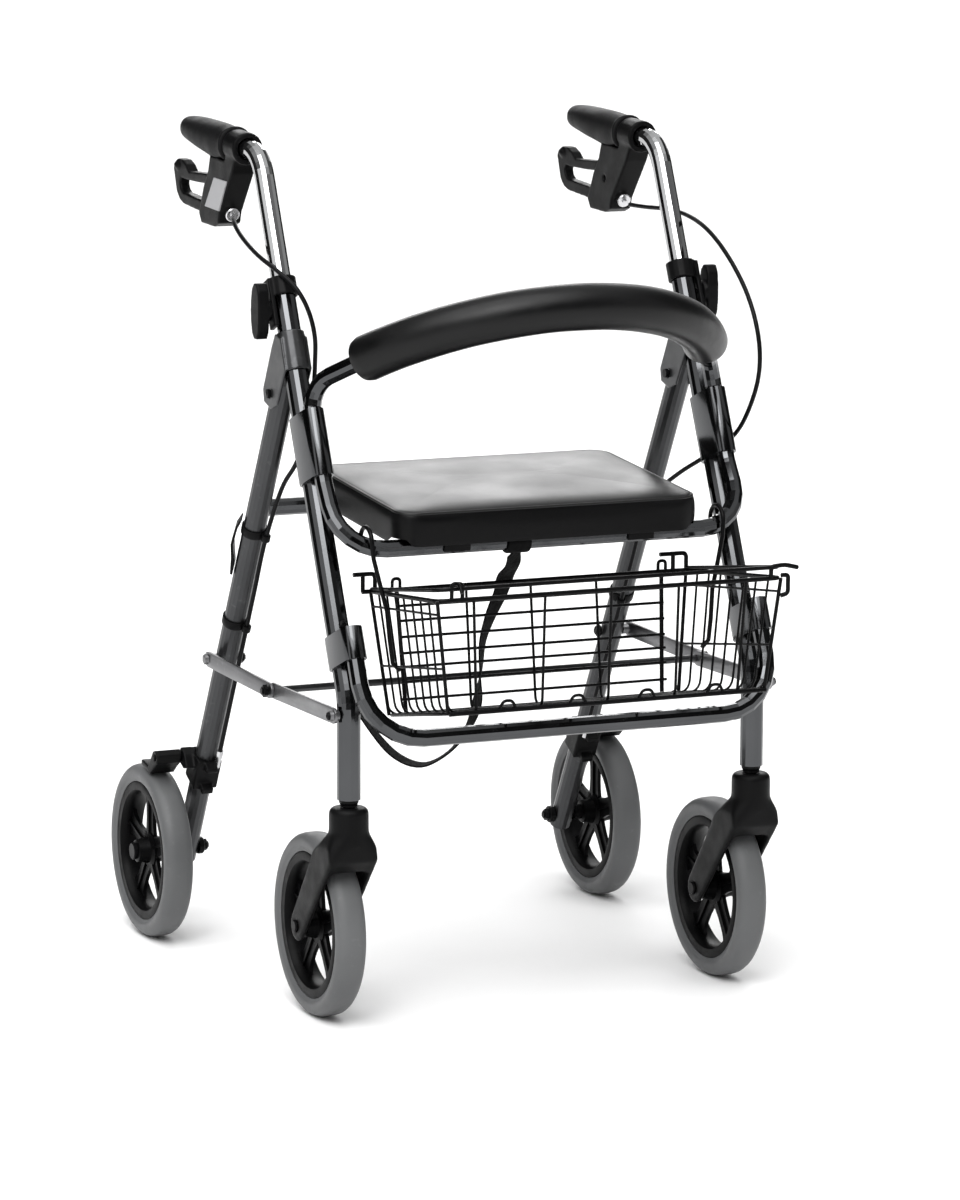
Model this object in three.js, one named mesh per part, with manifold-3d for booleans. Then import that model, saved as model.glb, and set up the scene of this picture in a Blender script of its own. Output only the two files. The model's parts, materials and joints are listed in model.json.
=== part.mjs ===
// Rollator walker: a folding four-wheeled walking frame with a flip-up seat, a hoop backrest,
// a wire basket, height-adjustable handles and loop brakes. Millimetres, +Z up, -Y is the
// direction of travel, +X is the user's left.
import * as THREE from 'three';
import { mergeVertices } from 'three/addons/utils/BufferGeometryUtils.js';
import Module from 'manifold-3d';

const wasm = await Module();
wasm.setup();

const rad = THREE.MathUtils.degToRad;
const at = (x, y, z) => new THREE.Vector3(x, y, z);

// ---- Driving dimensions ------------------------------------------------------------------
const MID_LENGTH = 26; // the middle of the overall length, measured from the fold's datum
const GAP = 0.35; // between pieces that touch on the real walker

const WHEEL_R = 100;
const TYRE_WIDTH = 34;
const RIM_R = 80; // bore of the tyre
const WHEEL_SEGMENTS = 32;
const WINDOWS = 5; // openings between the spokes
const AXLE_R = 5;
const HUB_HALF = 19.5; // half the length of the hub boss

const LEG_X = 238; // both legs of a side lie in this plane
const LEG_R = 12.7;
const STEM_Y = -201; // caster stem and foot of the front leg
const FRONT_AXLE_Y = -117; // behind the stem, so that the caster trails
const REAR_AXLE_Y = 297;
const REAR_WHEEL_X = 281;
const LEG_FOOT_Z = 254;
const LEG_BEND_Z = 361;
const LEG_TOP_Z = 780;
const LEAN = rad(24.5); // front leg, handle tube and both loops
const FOLD = at(LEG_X, -12, 665); // hinge between the front and rear legs
const SPREAD = Math.atan2(REAR_AXLE_Y - FOLD.y, FOLD.z - WHEEL_R); // rear leg from upright

const HANDLE_R = 11.1;
const HANDLE_Z = 918; // height of the handle tube where it turns back
const HANDLE_RISE = rad(3); // the hand end climbs rearwards
const HANDLE_END_Y = 270;
const HANDLE_INSIDE = 150; // length inside the front leg at this height setting
const BORE_DEPTH = 262; // lets the handle go 100 mm lower
const GRIP_START_Y = 129;

const LOOP_R = 9.5; // seat bar, backrest, basket bar and rear bar
const UPPER_LOOP = 28.5; // loop centre in front of the leg's axis
const LOWER_LOOP = 37;
const SEAT_BAR = at(0, -177, 516);
const REAR_BAR = at(0, 71, 527);
const BASKET_BAR = at(0, -257.5, 326);

const HOOP_R = 233; // backrest arc seen from above
const HOOP_Y = -32;
const HOOP_RISE = 0.525; // how steeply the hoop climbs towards its middle
const HOOP_TOP = at(0, -265, 775.5);
const FOAM_R = 25;

const SEAT_TILT = rad(4.3);
const SEAT_HALF = 179;
const SEAT_FRONT = -17.5; // seat outline along its own surface, from the seat bar's axis
const SEAT_REAR = 240;

const BRACE_FRONT = at(0, STEM_Y - 3, 346);
const BRACE_MIDDLE = at(0, -27, 342);
const BRACE_REAR_Z = 344;
const BRACE_HALF = 8.6; // half the height of the flat bars

const STRAP_WIDTH = 25;
const STRAP_THICK = 1.8;
const CABLE_R = 2.5;

// ---- Materials ---------------------------------------------------------------------------
const paint = (color, roughness, metalness = 0) =>
  new THREE.MeshStandardMaterial({ color, roughness, metalness });
const FINISH = {
  gloss_frame: () => paint(0x5c5e60, 0.22, 0.85),
  satin_frame: () => paint(0x4a4c4d, 0.45, 0.6),
  brace_steel: () => paint(0x8d8f90, 0.4, 0.7),
  black_steel: () => paint(0x111112, 0.4, 0.5),
  black_plastic: () => paint(0x141415, 0.5),
  grip_rubber: () => paint(0x1d1e1f, 0.75),
  foam: () => paint(0x1b1c1c, 0.7),
  vinyl: () => paint(0x151516, 0.45),
  tyre: () => paint(0x6d6f70, 0.6),
  webbing: () => paint(0x0c0c0d, 0.85),
  cable_sheath: () => paint(0x0f0f10, 0.45),
};

const rollator = new THREE.Group();
rollator.position.y = -MID_LENGTH;

function add(name, body, finish, mirror = false) {
  const mesh = new THREE.Mesh(body.geometry ?? drawn(body), FINISH[finish]());
  mesh.name = name;
  if (mirror) mesh.scale.x = -1;
  rollator.add(mesh);
}

// One piece for each side: it is shaped on the user's left, at +X.
function addPair(name, body, finish) {
  const geometry = drawn(body);
  add(name + '_left', { geometry }, finish);
  add(name + '_right', { geometry }, finish, true);
}

// ---- Solids ------------------------------------------------------------------------------
// A closed geometry as a solid, with shared corners merged and its faces turned outwards.
function solid(geometry) {
  const loose = geometry.index ? geometry.toNonIndexed() : geometry;
  const bare = new THREE.BufferGeometry();
  bare.setAttribute('position', loose.getAttribute('position'));
  const merged = mergeVertices(bare, 1e-3);
  const corners = merged.index.array;
  const triangles = [];
  for (let i = 0; i < corners.length; i += 3) {
    const [a, b, c] = corners.slice(i, i + 3);
    if (a !== b && b !== c && c !== a) triangles.push(a, b, c);
  }
  const build = (list) =>
    new wasm.Manifold(
      new wasm.Mesh({
        numProp: 3,
        vertProperties: merged.attributes.position.array,
        triVerts: Uint32Array.from(list),
      }),
    );
  const made = build(triangles);
  return made.volume() < 0 ? build(triangles.reverse()) : made;
}

function drawn(body) {
  const mesh = body.getMesh();
  const geometry = new THREE.BufferGeometry();
  geometry.setAttribute('position', new THREE.BufferAttribute(mesh.vertProperties, 3));
  geometry.setIndex(new THREE.BufferAttribute(mesh.triVerts, 1));
  geometry.computeVertexNormals();
  return geometry;
}

const join = (...bodies) => bodies.reduce((all, next) => all.add(next));
const cut = (body, ...tools) => tools.reduce((rest, tool) => rest.subtract(tool), body);

// A curve through chosen points, one step for each; with a side direction a flat section
// stays level with it.
class Route extends THREE.Curve {
  constructor(points, side = null) {
    super();
    this.points = points;
    this.side = side;
  }
  getPoint(t, target = new THREE.Vector3()) {
    const place = t * (this.points.length - 1);
    const i = Math.min(Math.floor(place), this.points.length - 2);
    return target.lerpVectors(this.points[i], this.points[i + 1], place - i);
  }
  getSpacedPoints(divisions) {
    return this.getPoints(divisions);
  }
  getTangentAt(u, target = new THREE.Vector3()) {
    const last = this.points.length - 1;
    const i = Math.round(u * last);
    const ahead = this.points[Math.min(i + 1, last)];
    return target.subVectors(ahead, this.points[Math.max(i - 1, 0)]).normalize();
  }
  computeFrenetFrames(segments, closed) {
    if (!this.side) return super.computeFrenetFrames(segments, closed);
    const frames = { tangents: [], normals: [], binormals: [] };
    for (let i = 0; i <= segments; i++) {
      const tangent = this.getTangentAt(i / segments);
      const normal = new THREE.Vector3().crossVectors(tangent, this.side).normalize();
      frames.tangents.push(tangent);
      frames.normals.push(normal);
      frames.binormals.push(new THREE.Vector3().crossVectors(tangent, normal));
    }
    return frames;
  }
}

// The corner points of a bent tube, with each corner turned into an arc.
function bend(corners, radii, step = rad(15)) {
  const points = [corners[0]];
  for (let i = 1; i < corners.length - 1; i++) {
    const back = corners[i - 1].clone().sub(corners[i]).normalize();
    const on = corners[i + 1].clone().sub(corners[i]).normalize();
    const turn = Math.PI - back.angleTo(on);
    const radius = radii[i - 1];
    const start = corners[i].clone().addScaledVector(back, radius * Math.tan(turn / 2));
    const inward = back.clone().add(on).normalize();
    const middle = corners[i].clone().addScaledVector(inward, radius / Math.cos(turn / 2));
    const arm = start.sub(middle);
    const axis = new THREE.Vector3().crossVectors(on, back).normalize();
    const count = Math.max(2, Math.ceil(turn / step));
    for (let k = 0; k <= count; k++) {
      points.push(arm.clone().applyAxisAngle(axis, (turn * k) / count).add(middle));
    }
  }
  points.push(corners.at(-1));
  return points;
}

const circle = (r, sides = 12) =>
  Array.from({ length: sides }, (_, i) => {
    const angle = (2 * Math.PI * (i + 0.5)) / sides;
    return [r * Math.cos(angle), r * Math.sin(angle)];
  });
const shapeOf = (outline) => new THREE.Shape(outline.map(([x, y]) => new THREE.Vector2(x, y)));

// A section swept along points.
function sweep(points, outline, side = null) {
  const extrudePath = new Route(points, side);
  return solid(
    new THREE.ExtrudeGeometry(shapeOf(outline), { steps: points.length - 1, extrudePath }),
  );
}
const tube = (points, r, sides = 12) => sweep(points, circle(r, sides));

// An outline in a plane spanned by two directions, made as thick as from one depth to another.
function plate(outline, from, to, first, second, origin = at(0, 0, 0)) {
  const geometry = new THREE.ExtrudeGeometry(shapeOf(outline), {
    depth: to - from,
    bevelEnabled: false,
  });
  const through = new THREE.Vector3().crossVectors(first, second);
  const place = new THREE.Matrix4().makeBasis(first, second, through);
  geometry.translate(0, 0, from);
  geometry.applyMatrix4(place.setPosition(origin));
  return solid(geometry);
}
const X = at(1, 0, 0);
const Y = at(0, 1, 0);
const Z = at(0, 0, 1);
const slab = (outline, x0, x1) => plate(outline, x0, x1, Y, Z); // outline in y, z
const plan = (outline, z0, z1) => plate(outline, z0, z1, X, Y); // outline in x, y

// A profile of [radius, height] pairs turned round an axis through a point.
function turned(profile, centre, axis, segments = 16) {
  const points = profile.map(([r, h]) => new THREE.Vector2(r, h));
  const geometry = new THREE.LatheGeometry(points, segments);
  geometry.applyQuaternion(new THREE.Quaternion().setFromUnitVectors(Y, axis));
  geometry.translate(centre.x, centre.y, centre.z);
  return solid(geometry);
}
const pin = (centre, axis, r, from, to, segments = 12) =>
  turned([[0, from], [r, from], [r, to], [0, to]], centre, axis, segments);

function roundedRect(x0, x1, y0, y1, r, steps = 4) {
  const corners = [
    [x1 - r, y1 - r, 0],
    [x0 + r, y1 - r, 90],
    [x0 + r, y0 + r, 180],
    [x1 - r, y0 + r, 270],
  ];
  return corners.flatMap(([x, y, start]) =>
    Array.from({ length: steps + 1 }, (_, i) => {
      const angle = rad(start + (90 * i) / steps);
      return [x + r * Math.cos(angle), y + r * Math.sin(angle)];
    }),
  );
}

// Arc points in a y, z outline; the angle is measured from +Z towards -Y.
const arc = (y, z, r, from, to, steps) =>
  Array.from({ length: steps + 1 }, (_, i) => {
    const angle = rad(from + ((to - from) * i) / steps);
    return [y - r * Math.sin(angle), z + r * Math.cos(angle)];
  });

// ---- Places on the frame -----------------------------------------------------------------
const UP_FRONT = at(0, Math.sin(LEAN), Math.cos(LEAN)); // along the front leg
const BEHIND_FRONT = at(0, Math.cos(LEAN), -Math.sin(LEAN)); // square to it, rearwards
const UP_REAR = at(0, -Math.sin(SPREAD), Math.cos(SPREAD));
const BEHIND_REAR = at(0, Math.cos(SPREAD), Math.sin(SPREAD));
const frontLegAt = (z) => at(LEG_X, STEM_Y + (z - LEG_BEND_Z) * Math.tan(LEAN), z);
const rearLegAt = (z) => at(LEG_X, REAR_AXLE_Y - (z - WHEEL_R) * Math.tan(SPREAD), z);
const LEG_TOP = frontLegAt(LEG_TOP_Z);
const alongFront = (s) => LEG_TOP.clone().addScaledVector(UP_FRONT, s);
const beforeLeg = (z, offset) =>
  frontLegAt(z).addScaledVector(BEHIND_FRONT, -offset);
const mirrored = (points) => points.map((p) => at(-p.x, p.y, p.z)).reverse();
const KNOB = frontLegAt(756);
const BRACE_REAR = rearLegAt(BRACE_REAR_Z);

// ---- Wheels ------------------------------------------------------------------------------
function tyre(centre) {
  const half = TYRE_WIDTH / 2;
  const profile = [
    [RIM_R, -half + 2.5],
    [RIM_R + 5, -half + 0.4],
    [RIM_R + 11, -half],
    [WHEEL_R - 3.5, -half + 4],
    [WHEEL_R, -half + 11],
    [WHEEL_R, half - 11],
    [WHEEL_R - 3.5, half - 4],
    [RIM_R + 11, half],
    [RIM_R + 5, half - 0.4],
    [RIM_R, half - 2.5],
    [RIM_R, -half + 2.5],
  ];
  return turned(profile, centre, X, WHEEL_SEGMENTS);
}

function hub(centre) {
  const rim = RIM_R - GAP;
  const profile = [
    [AXLE_R + 0.7, -HUB_HALF],
    [16, -HUB_HALF],
    [17.5, -7],
    [rim - 10, -5],
    [rim - 8, -14],
    [rim, -14],
    [rim, 14],
    [rim - 8, 14],
    [rim - 10, 5],
    [17.5, 7],
    [16, HUB_HALF],
    [AXLE_R + 0.7, HUB_HALF],
    [AXLE_R + 0.7, -HUB_HALF],
  ];
  const windows = Array.from({ length: WINDOWS }, (_, i) => {
    const turn = rad(-90 + (360 * i) / WINDOWS);
    const outline = [[33, -3], [66, -25], [66, 25], [33, 3]];
    const turnedOutline = outline.map(([r, side]) => [
      centre.y + r * Math.cos(turn) - side * Math.sin(turn),
      centre.z + r * Math.sin(turn) + side * Math.cos(turn),
    ]);
    return slab(turnedOutline, centre.x - HUB_HALF, centre.x + HUB_HALF);
  });
  return cut(turned(profile, centre, X, WHEEL_SEGMENTS), ...windows);
}

// A shaft with a head at each end, and a spacer beside the wheel where one is needed.
function axle(centre, from, to, headR, headLong, spacer = null) {
  const start = from - headLong;
  const profile = [[0, start], [headR - 1, start], [headR, start + 1], [headR, from]];
  profile.push([AXLE_R, from]);
  if (spacer) {
    profile.push([AXLE_R, spacer[0]], [9, spacer[0]], [9, spacer[1]], [AXLE_R, spacer[1]]);
  }
  const end = to + Math.min(headLong, 4.5);
  profile.push([AXLE_R, to], [headR, to], [headR, end - 1], [headR - 1, end], [0, end]);
  return turned(profile, centre, X, 16);
}

const FRONT_WHEEL = at(LEG_X, FRONT_AXLE_Y, WHEEL_R);
const REAR_WHEEL = at(REAR_WHEEL_X, REAR_AXLE_Y, WHEEL_R);
const ARM_IN = HUB_HALF + 1.3; // inner face of a fork arm, from the wheel's middle
const ARM_OUT = ARM_IN + 7.2;

addPair('front_tyre', tyre(FRONT_WHEEL), 'tyre');
addPair('front_hub', hub(FRONT_WHEEL), 'black_plastic');
addPair(
  'front_axle',
  axle(FRONT_WHEEL, -ARM_OUT - GAP, ARM_OUT + GAP, 7, 2.4),
  'black_steel',
);
addPair('rear_tyre', tyre(REAR_WHEEL), 'tyre');
addPair('rear_hub', hub(REAR_WHEEL), 'black_plastic');
{
  const legInside = LEG_X - LEG_R - REAR_WHEEL_X;
  const legOutside = LEG_X + LEG_R - REAR_WHEEL_X;
  const spacer = [legOutside + GAP, -HUB_HALF - GAP];
  const body = axle(REAR_WHEEL, legInside - GAP, HUB_HALF + GAP, 10, 6, spacer);
  addPair('rear_axle', body, 'black_steel');
}

// ---- Casters -----------------------------------------------------------------------------
const CROWN_TOP = 246;
const CROWN_R = 21.5;
const STEM_R = 6;

function casterFork() {
  const y = FRONT_AXLE_Y;
  const tip = arc(y, WHEEL_R, 17, 126, 306, 7);
  const armOutline = [
    [STEM_Y - 12, 202],
    [STEM_Y - 16, 188],
    ...tip,
    [STEM_Y + 50, 174],
    [STEM_Y + 20, 202],
  ];
  const arms = [-1, 1].map((side) => {
    const inner = LEG_X + side * ARM_IN;
    const outer = LEG_X + side * ARM_OUT;
    return slab(armOutline, Math.min(inner, outer), Math.max(inner, outer));
  });
  const shoulder = wasm.Manifold.hull([
    pin(at(LEG_X, STEM_Y, 0), Z, CROWN_R, 210, 218, 20),
    slab([[STEM_Y - 12, 202], [STEM_Y - 16, 188], [STEM_Y - 2, 174], [STEM_Y + 48, 174],
      [STEM_Y + 40, 190], [STEM_Y + 18, 202]], LEG_X - ARM_OUT, LEG_X + ARM_OUT),
  ]);
  const crown = turned(
    [[0, 205], [CROWN_R, 205], [CROWN_R, 216], [CROWN_R, CROWN_TOP - 4],
      [CROWN_R - 4, CROWN_TOP], [0, CROWN_TOP]],
    at(LEG_X, STEM_Y, 0), Z, 20,
  );
  const stemBore = pin(at(LEG_X, STEM_Y, 0), Z, STEM_R + 0.4, 218, CROWN_TOP + 1);
  const wheelRoom = pin(FRONT_WHEEL, X, WHEEL_R + 5, -ARM_IN, ARM_IN, WHEEL_SEGMENTS);
  const axleBore = pin(FRONT_WHEEL, X, AXLE_R + 0.5, -40, 40);
  return cut(join(crown, shoulder, ...arms), wheelRoom, stemBore, axleBore);
}
addPair('caster_fork', casterFork(), 'black_plastic');
addPair(
  'caster_stem',
  turned(
    [[0, 219], [STEM_R, 219], [STEM_R, CROWN_TOP + 2], [9, CROWN_TOP + 2],
      [10.5, LEG_FOOT_Z - 3], [10.5, LEG_FOOT_Z - GAP], [9.8, LEG_FOOT_Z - GAP],
      [9.8, LEG_FOOT_Z + 26], [0, LEG_FOOT_Z + 26]],
    at(LEG_X, STEM_Y, 0), Z, 16,
  ),
  'brace_steel',
);

// ---- Legs and their hinge ----------------------------------------------------------------
const PIN_R = 4;
const KNOB_SCREW_R = 3;
{
  const foot = at(LEG_X, STEM_Y, LEG_FOOT_Z);
  const corner = at(LEG_X, STEM_Y, LEG_BEND_Z);
  const body = tube(bend([foot, corner, LEG_TOP], [70], rad(6)), LEG_R, 16);
  const topBore = tube([alongFront(-BORE_DEPTH), alongFront(5)], HANDLE_R + 0.7, 16);
  const footBore = pin(foot, Z, 10.3, -5, 28, 16);
  const screwHole = pin(KNOB, X, KNOB_SCREW_R + 0.5, 5, 20);
  addPair('front_leg', cut(body, topBore, footBore, screwHole), 'gloss_frame');
}
{
  const foot = rearLegAt(WHEEL_R).addScaledVector(UP_REAR, -15);
  const top = FOLD.clone().addScaledVector(UP_REAR, 17);
  const body = tube([foot, top], LEG_R, 16);
  const axleHole = pin(rearLegAt(WHEEL_R), X, AXLE_R + 0.6, -30, 30);
  const pinHole = pin(FOLD, X, PIN_R + 0.5, -30, 30);
  addPair('rear_leg', cut(body, axleHole, pinHole), 'satin_frame');
}

const CHEEK_IN = LEG_R + 0.5;
const CHEEK_OUT = CHEEK_IN + 2.5;
{
  const sleeve = tube([frontLegAt(692), frontLegAt(732)], CHEEK_OUT, 16);
  const outline = [[-58, 696], [-44, 729], [-27, 731], [-17, 716], [9, 668], [6, 654],
    [-14, 648], [-33, 655]];
  const outer = slab(outline, LEG_X + CHEEK_IN, LEG_X + CHEEK_OUT);
  const inner = slab(outline, LEG_X - CHEEK_OUT, LEG_X - CHEEK_IN);
  const legBore = tube([frontLegAt(640), frontLegAt(780)], LEG_R + GAP + 0.1, 16);
  const pinHole = pin(FOLD, X, PIN_R + 0.4, -30, 30);
  addPair('hinge_bracket', cut(join(sleeve, outer, inner), legBore, pinHole), 'satin_frame');
  const head = 5;
  const reach = CHEEK_OUT + GAP;
  addPair(
    'hinge_pin',
    turned(
      [[0, -reach - 4], [head, -reach - 4], [head, -reach], [PIN_R, -reach], [PIN_R, reach],
        [head, reach], [head, reach + 3], [0, reach + 4]],
      FOLD, X, 12,
    ),
    'black_steel',
  );
}

// ---- Height-adjustable handles ------------------------------------------------------------
const HANDLE_CORNER = alongFront((HANDLE_Z - LEG_TOP_Z) / Math.cos(LEAN));
const GRIP_RUN = at(0, Math.cos(HANDLE_RISE), Math.sin(HANDLE_RISE));
const GRIP_AXIS = HANDLE_CORNER.clone().addScaledVector(GRIP_RUN, -HANDLE_CORNER.y);
{
  const corner = HANDLE_CORNER;
  const end = GRIP_AXIS.clone().addScaledVector(GRIP_RUN, HANDLE_END_Y);
  const path = bend([alongFront(-HANDLE_INSIDE), corner, end], [45], rad(9));
  addPair('handle_tube', tube(path, HANDLE_R, 16), 'gloss_frame');
}
{
  const profile = [
    [0, GRIP_START_Y], [19.5, GRIP_START_Y], [20.5, GRIP_START_Y + 5], [19, GRIP_START_Y + 12],
    [20.3, 162], [20.5, 195], [19, 228], [16.8, 254], [13.5, 269], [8, 277], [0, 279],
  ];
  const body = turned(profile, GRIP_AXIS, GRIP_RUN, 16);
  const from = GRIP_START_Y - 5;
  const bore = pin(GRIP_AXIS, GRIP_RUN, HANDLE_R + 0.7, from, HANDLE_END_Y + 1, 16);
  addPair('grip', cut(body, bore), 'grip_rubber');
}

// The clamp at the top of the leg: a stepped ring round leg and handle tube, with a cheek
// outboard that the knob's screw goes through.
const CLAMP_FACE = LEG_X + LEG_R + 6;
{
  const ring = tube([alongFront(-12), alongFront(9)], 16, 16);
  const drop = plate([[-9, -46], [9, -46], [9, 8], [-9, 8]], LEG_R + 0.6, LEG_R + 6,
    BEHIND_FRONT, UP_FRONT, LEG_TOP);
  const legBore = tube([alongFront(-60), alongFront(0.3)], LEG_R + 0.4, 16);
  const tubeBore = tube([alongFront(-5), alongFront(20)], HANDLE_R + 0.5, 16);
  const screwHole = pin(KNOB, X, KNOB_SCREW_R + 0.5, 5, 40);
  addPair('clamp_collar', cut(join(ring, drop), legBore, tubeBore, screwHole), 'black_plastic');
}
{
  const face = CLAMP_FACE + 0.5;
  const screw = pin(KNOB, X, KNOB_SCREW_R, LEG_R - 1, face - LEG_X + 3);
  const boss = pin(KNOB, X, 12, face - LEG_X, face - LEG_X + 5, 16);
  const wing = [[-5, 30], [3, 30], [9, 24], [12, 12], [13, 0], [12, -12], [9, -24], [3, -30],
    [-5, -30], [-10, -22], [-12, -8], [-12, 8], [-10, 22]];
  const wings = slab(wing.map(([y, z]) => [KNOB.y + y, KNOB.z + z]), face + 4, face + 17);
  addPair('knob', join(screw, boss, wings), 'black_plastic');
}

// ---- Brake handles ------------------------------------------------------------------------
const LEVER_PIVOT = at(LEG_X, 166, 868);
const LEVER_HALF = 6;
const LEVER_PIN_R = 3;
{
  const body = slab(
    [[96, 912], [108, 892], [146, 846], [150, 834], [164, 829], [204, 830], [212, 841],
      [196, 872], [182, 890], [174, 912]],
    LEG_X - 13.5, LEG_X + 13.5,
  );
  const ring = pin(GRIP_AXIS, GRIP_RUN, 18, 92, 126, 16);
  const bore = pin(GRIP_AXIS, GRIP_RUN, HANDLE_R + 0.5, 60, 200, 16);
  const gripRoom = pin(GRIP_AXIS, GRIP_RUN, 21.5, GRIP_START_Y - 1, 200, 16);
  const slot = slab([[146, 864], [156, 836.5], [230, 836.5], [230, 898], [146, 898]],
    LEG_X - LEVER_HALF - 0.8, LEG_X + LEVER_HALF + 0.8);
  const pinHole = pin(LEVER_PIVOT, X, LEVER_PIN_R + 0.5, -20, 20);
  addPair('brake_housing', cut(join(body, ring), bore, gripRoom, slot, pinHole),
    'black_plastic');
}
{
  const outer = [
    [158, 858], [154, 868], [158, 880], [190, 885], [262, 882], [272, 889], [284, 893.5],
    [298, 894], [309, 889], [313, 882], [310, 875], [307, 866], [303, 856], [294, 848],
    [282, 844], [214, 839], [176, 842],
  ];
  const inner = [[192, 873], [240, 872], [276, 872], [288, 873], [292, 867], [289, 861],
    [282, 857], [222, 853], [198, 855]];
  const half = LEVER_HALF;
  const loop = slab(outer, LEG_X - half, LEG_X + half);
  const window = slab(inner, LEG_X - half - 1, LEG_X + half + 1);
  const pivot = pin(LEVER_PIVOT, X, LEVER_PIN_R, -11, 11);
  const rest = turned([[0, -6], [7, -5], [10.5, -1], [10.5, 2], [7, 6], [0, 7]],
    at(LEG_X, 297, 886), Z, 14);
  addPair('brake_lever', join(cut(loop, window), pivot, rest), 'black_plastic');
}

// ---- Sockets, loops and bars ---------------------------------------------------------------
// A twin socket: one sleeve round the leg, one round the loop tube in front of it.
function twinSocket(zLow, zHigh, offset) {
  const outline = [
    ...Array.from({ length: 9 }, (_, i) => {
      const angle = rad((180 * i) / 8);
      return [15.4 * Math.cos(angle), 15.4 * Math.sin(angle)];
    }),
    ...Array.from({ length: 9 }, (_, i) => {
      const angle = rad(180 + (180 * i) / 8);
      return [12.2 * Math.cos(angle), -offset + 12.2 * Math.sin(angle)];
    }),
  ];
  const length = (zHigh - zLow) / Math.cos(LEAN);
  const low = frontLegAt(zLow);
  const body = plate(outline, 0, length, X, BEHIND_FRONT, low);
  const legBore = tube([frontLegAt(zLow - 20), frontLegAt(zHigh + 20)], LEG_R + 0.4, 16);
  const loopBore = tube([beforeLeg(zLow - 20, offset), beforeLeg(zHigh + 20, offset)],
    LOOP_R + 0.4);
  return cut(body, legBore, loopBore);
}
const UPPER_LOW = 578;
const UPPER_HIGH = 645;
const LOWER_LOW = 392;
const LOWER_HIGH = 424;
addPair('upper_socket', twinSocket(UPPER_LOW, UPPER_HIGH, UPPER_LOOP), 'satin_frame');
addPair('lower_socket', twinSocket(LOWER_LOW, LOWER_HIGH, LOWER_LOOP), 'satin_frame');

{
  const side = [
    beforeLeg(608, UPPER_LOOP),
    beforeLeg(UPPER_LOW - 8, UPPER_LOOP),
    at(LEG_X, SEAT_BAR.y, SEAT_BAR.z),
  ];
  const corners = [...side, ...mirrored(side)];
  add('seat_front_bar', tube(bend(corners, [60, 52, 52, 60]), LOOP_R), 'gloss_frame');
}
{
  const side = [beforeLeg(LOWER_HIGH - 6, LOWER_LOOP), at(LEG_X, BASKET_BAR.y, BASKET_BAR.z)];
  const corners = [...side, ...mirrored(side)];
  add('basket_support_bar', tube(bend(corners, [62, 62]), LOOP_R), 'gloss_frame');
}
{
  const reach = LEG_X - LEG_R - GAP;
  add('rear_seat_bar', tube([at(-reach, REAR_BAR.y, REAR_BAR.z),
    at(reach, REAR_BAR.y, REAR_BAR.z)], LOOP_R), 'gloss_frame');
}

const hoopZ = (y) => HOOP_TOP.z - HOOP_RISE * (y - HOOP_TOP.y);
function hoopPoint(degrees) {
  const y = HOOP_Y - HOOP_R * Math.cos(rad(degrees));
  return at(HOOP_R * Math.sin(rad(degrees)), y, hoopZ(y));
}
const HOOP_END = 60; // degrees either side of the middle
const hoop = (end, count) =>
  Array.from({ length: count + 1 }, (_, i) => hoopPoint(end - (2 * end * i) / count));
{
  const end = hoopPoint(HOOP_END);
  const run = end.clone().sub(hoopPoint(HOOP_END - 0.5)).normalize();
  const shoulder = end.clone().addScaledVector(run, (LEG_X - end.x) / run.x);
  const side = bend([beforeLeg(609, UPPER_LOOP), beforeLeg(UPPER_HIGH + 4, UPPER_LOOP),
    shoulder, end], [80, 34]).slice(0, -1);
  const path = [...side, ...hoop(HOOP_END, 12), ...mirrored(side)];
  add('backrest_tube', tube(path, LOOP_R), 'gloss_frame');
  const foam = tube(hoop(HOOP_END - 0.5, 16), FOAM_R, 14);
  const foamBore = tube(hoop(HOOP_END + 1.2, 12), LOOP_R + 0.9);
  add('backrest_pad', cut(foam, foamBore), 'foam');
}

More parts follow.
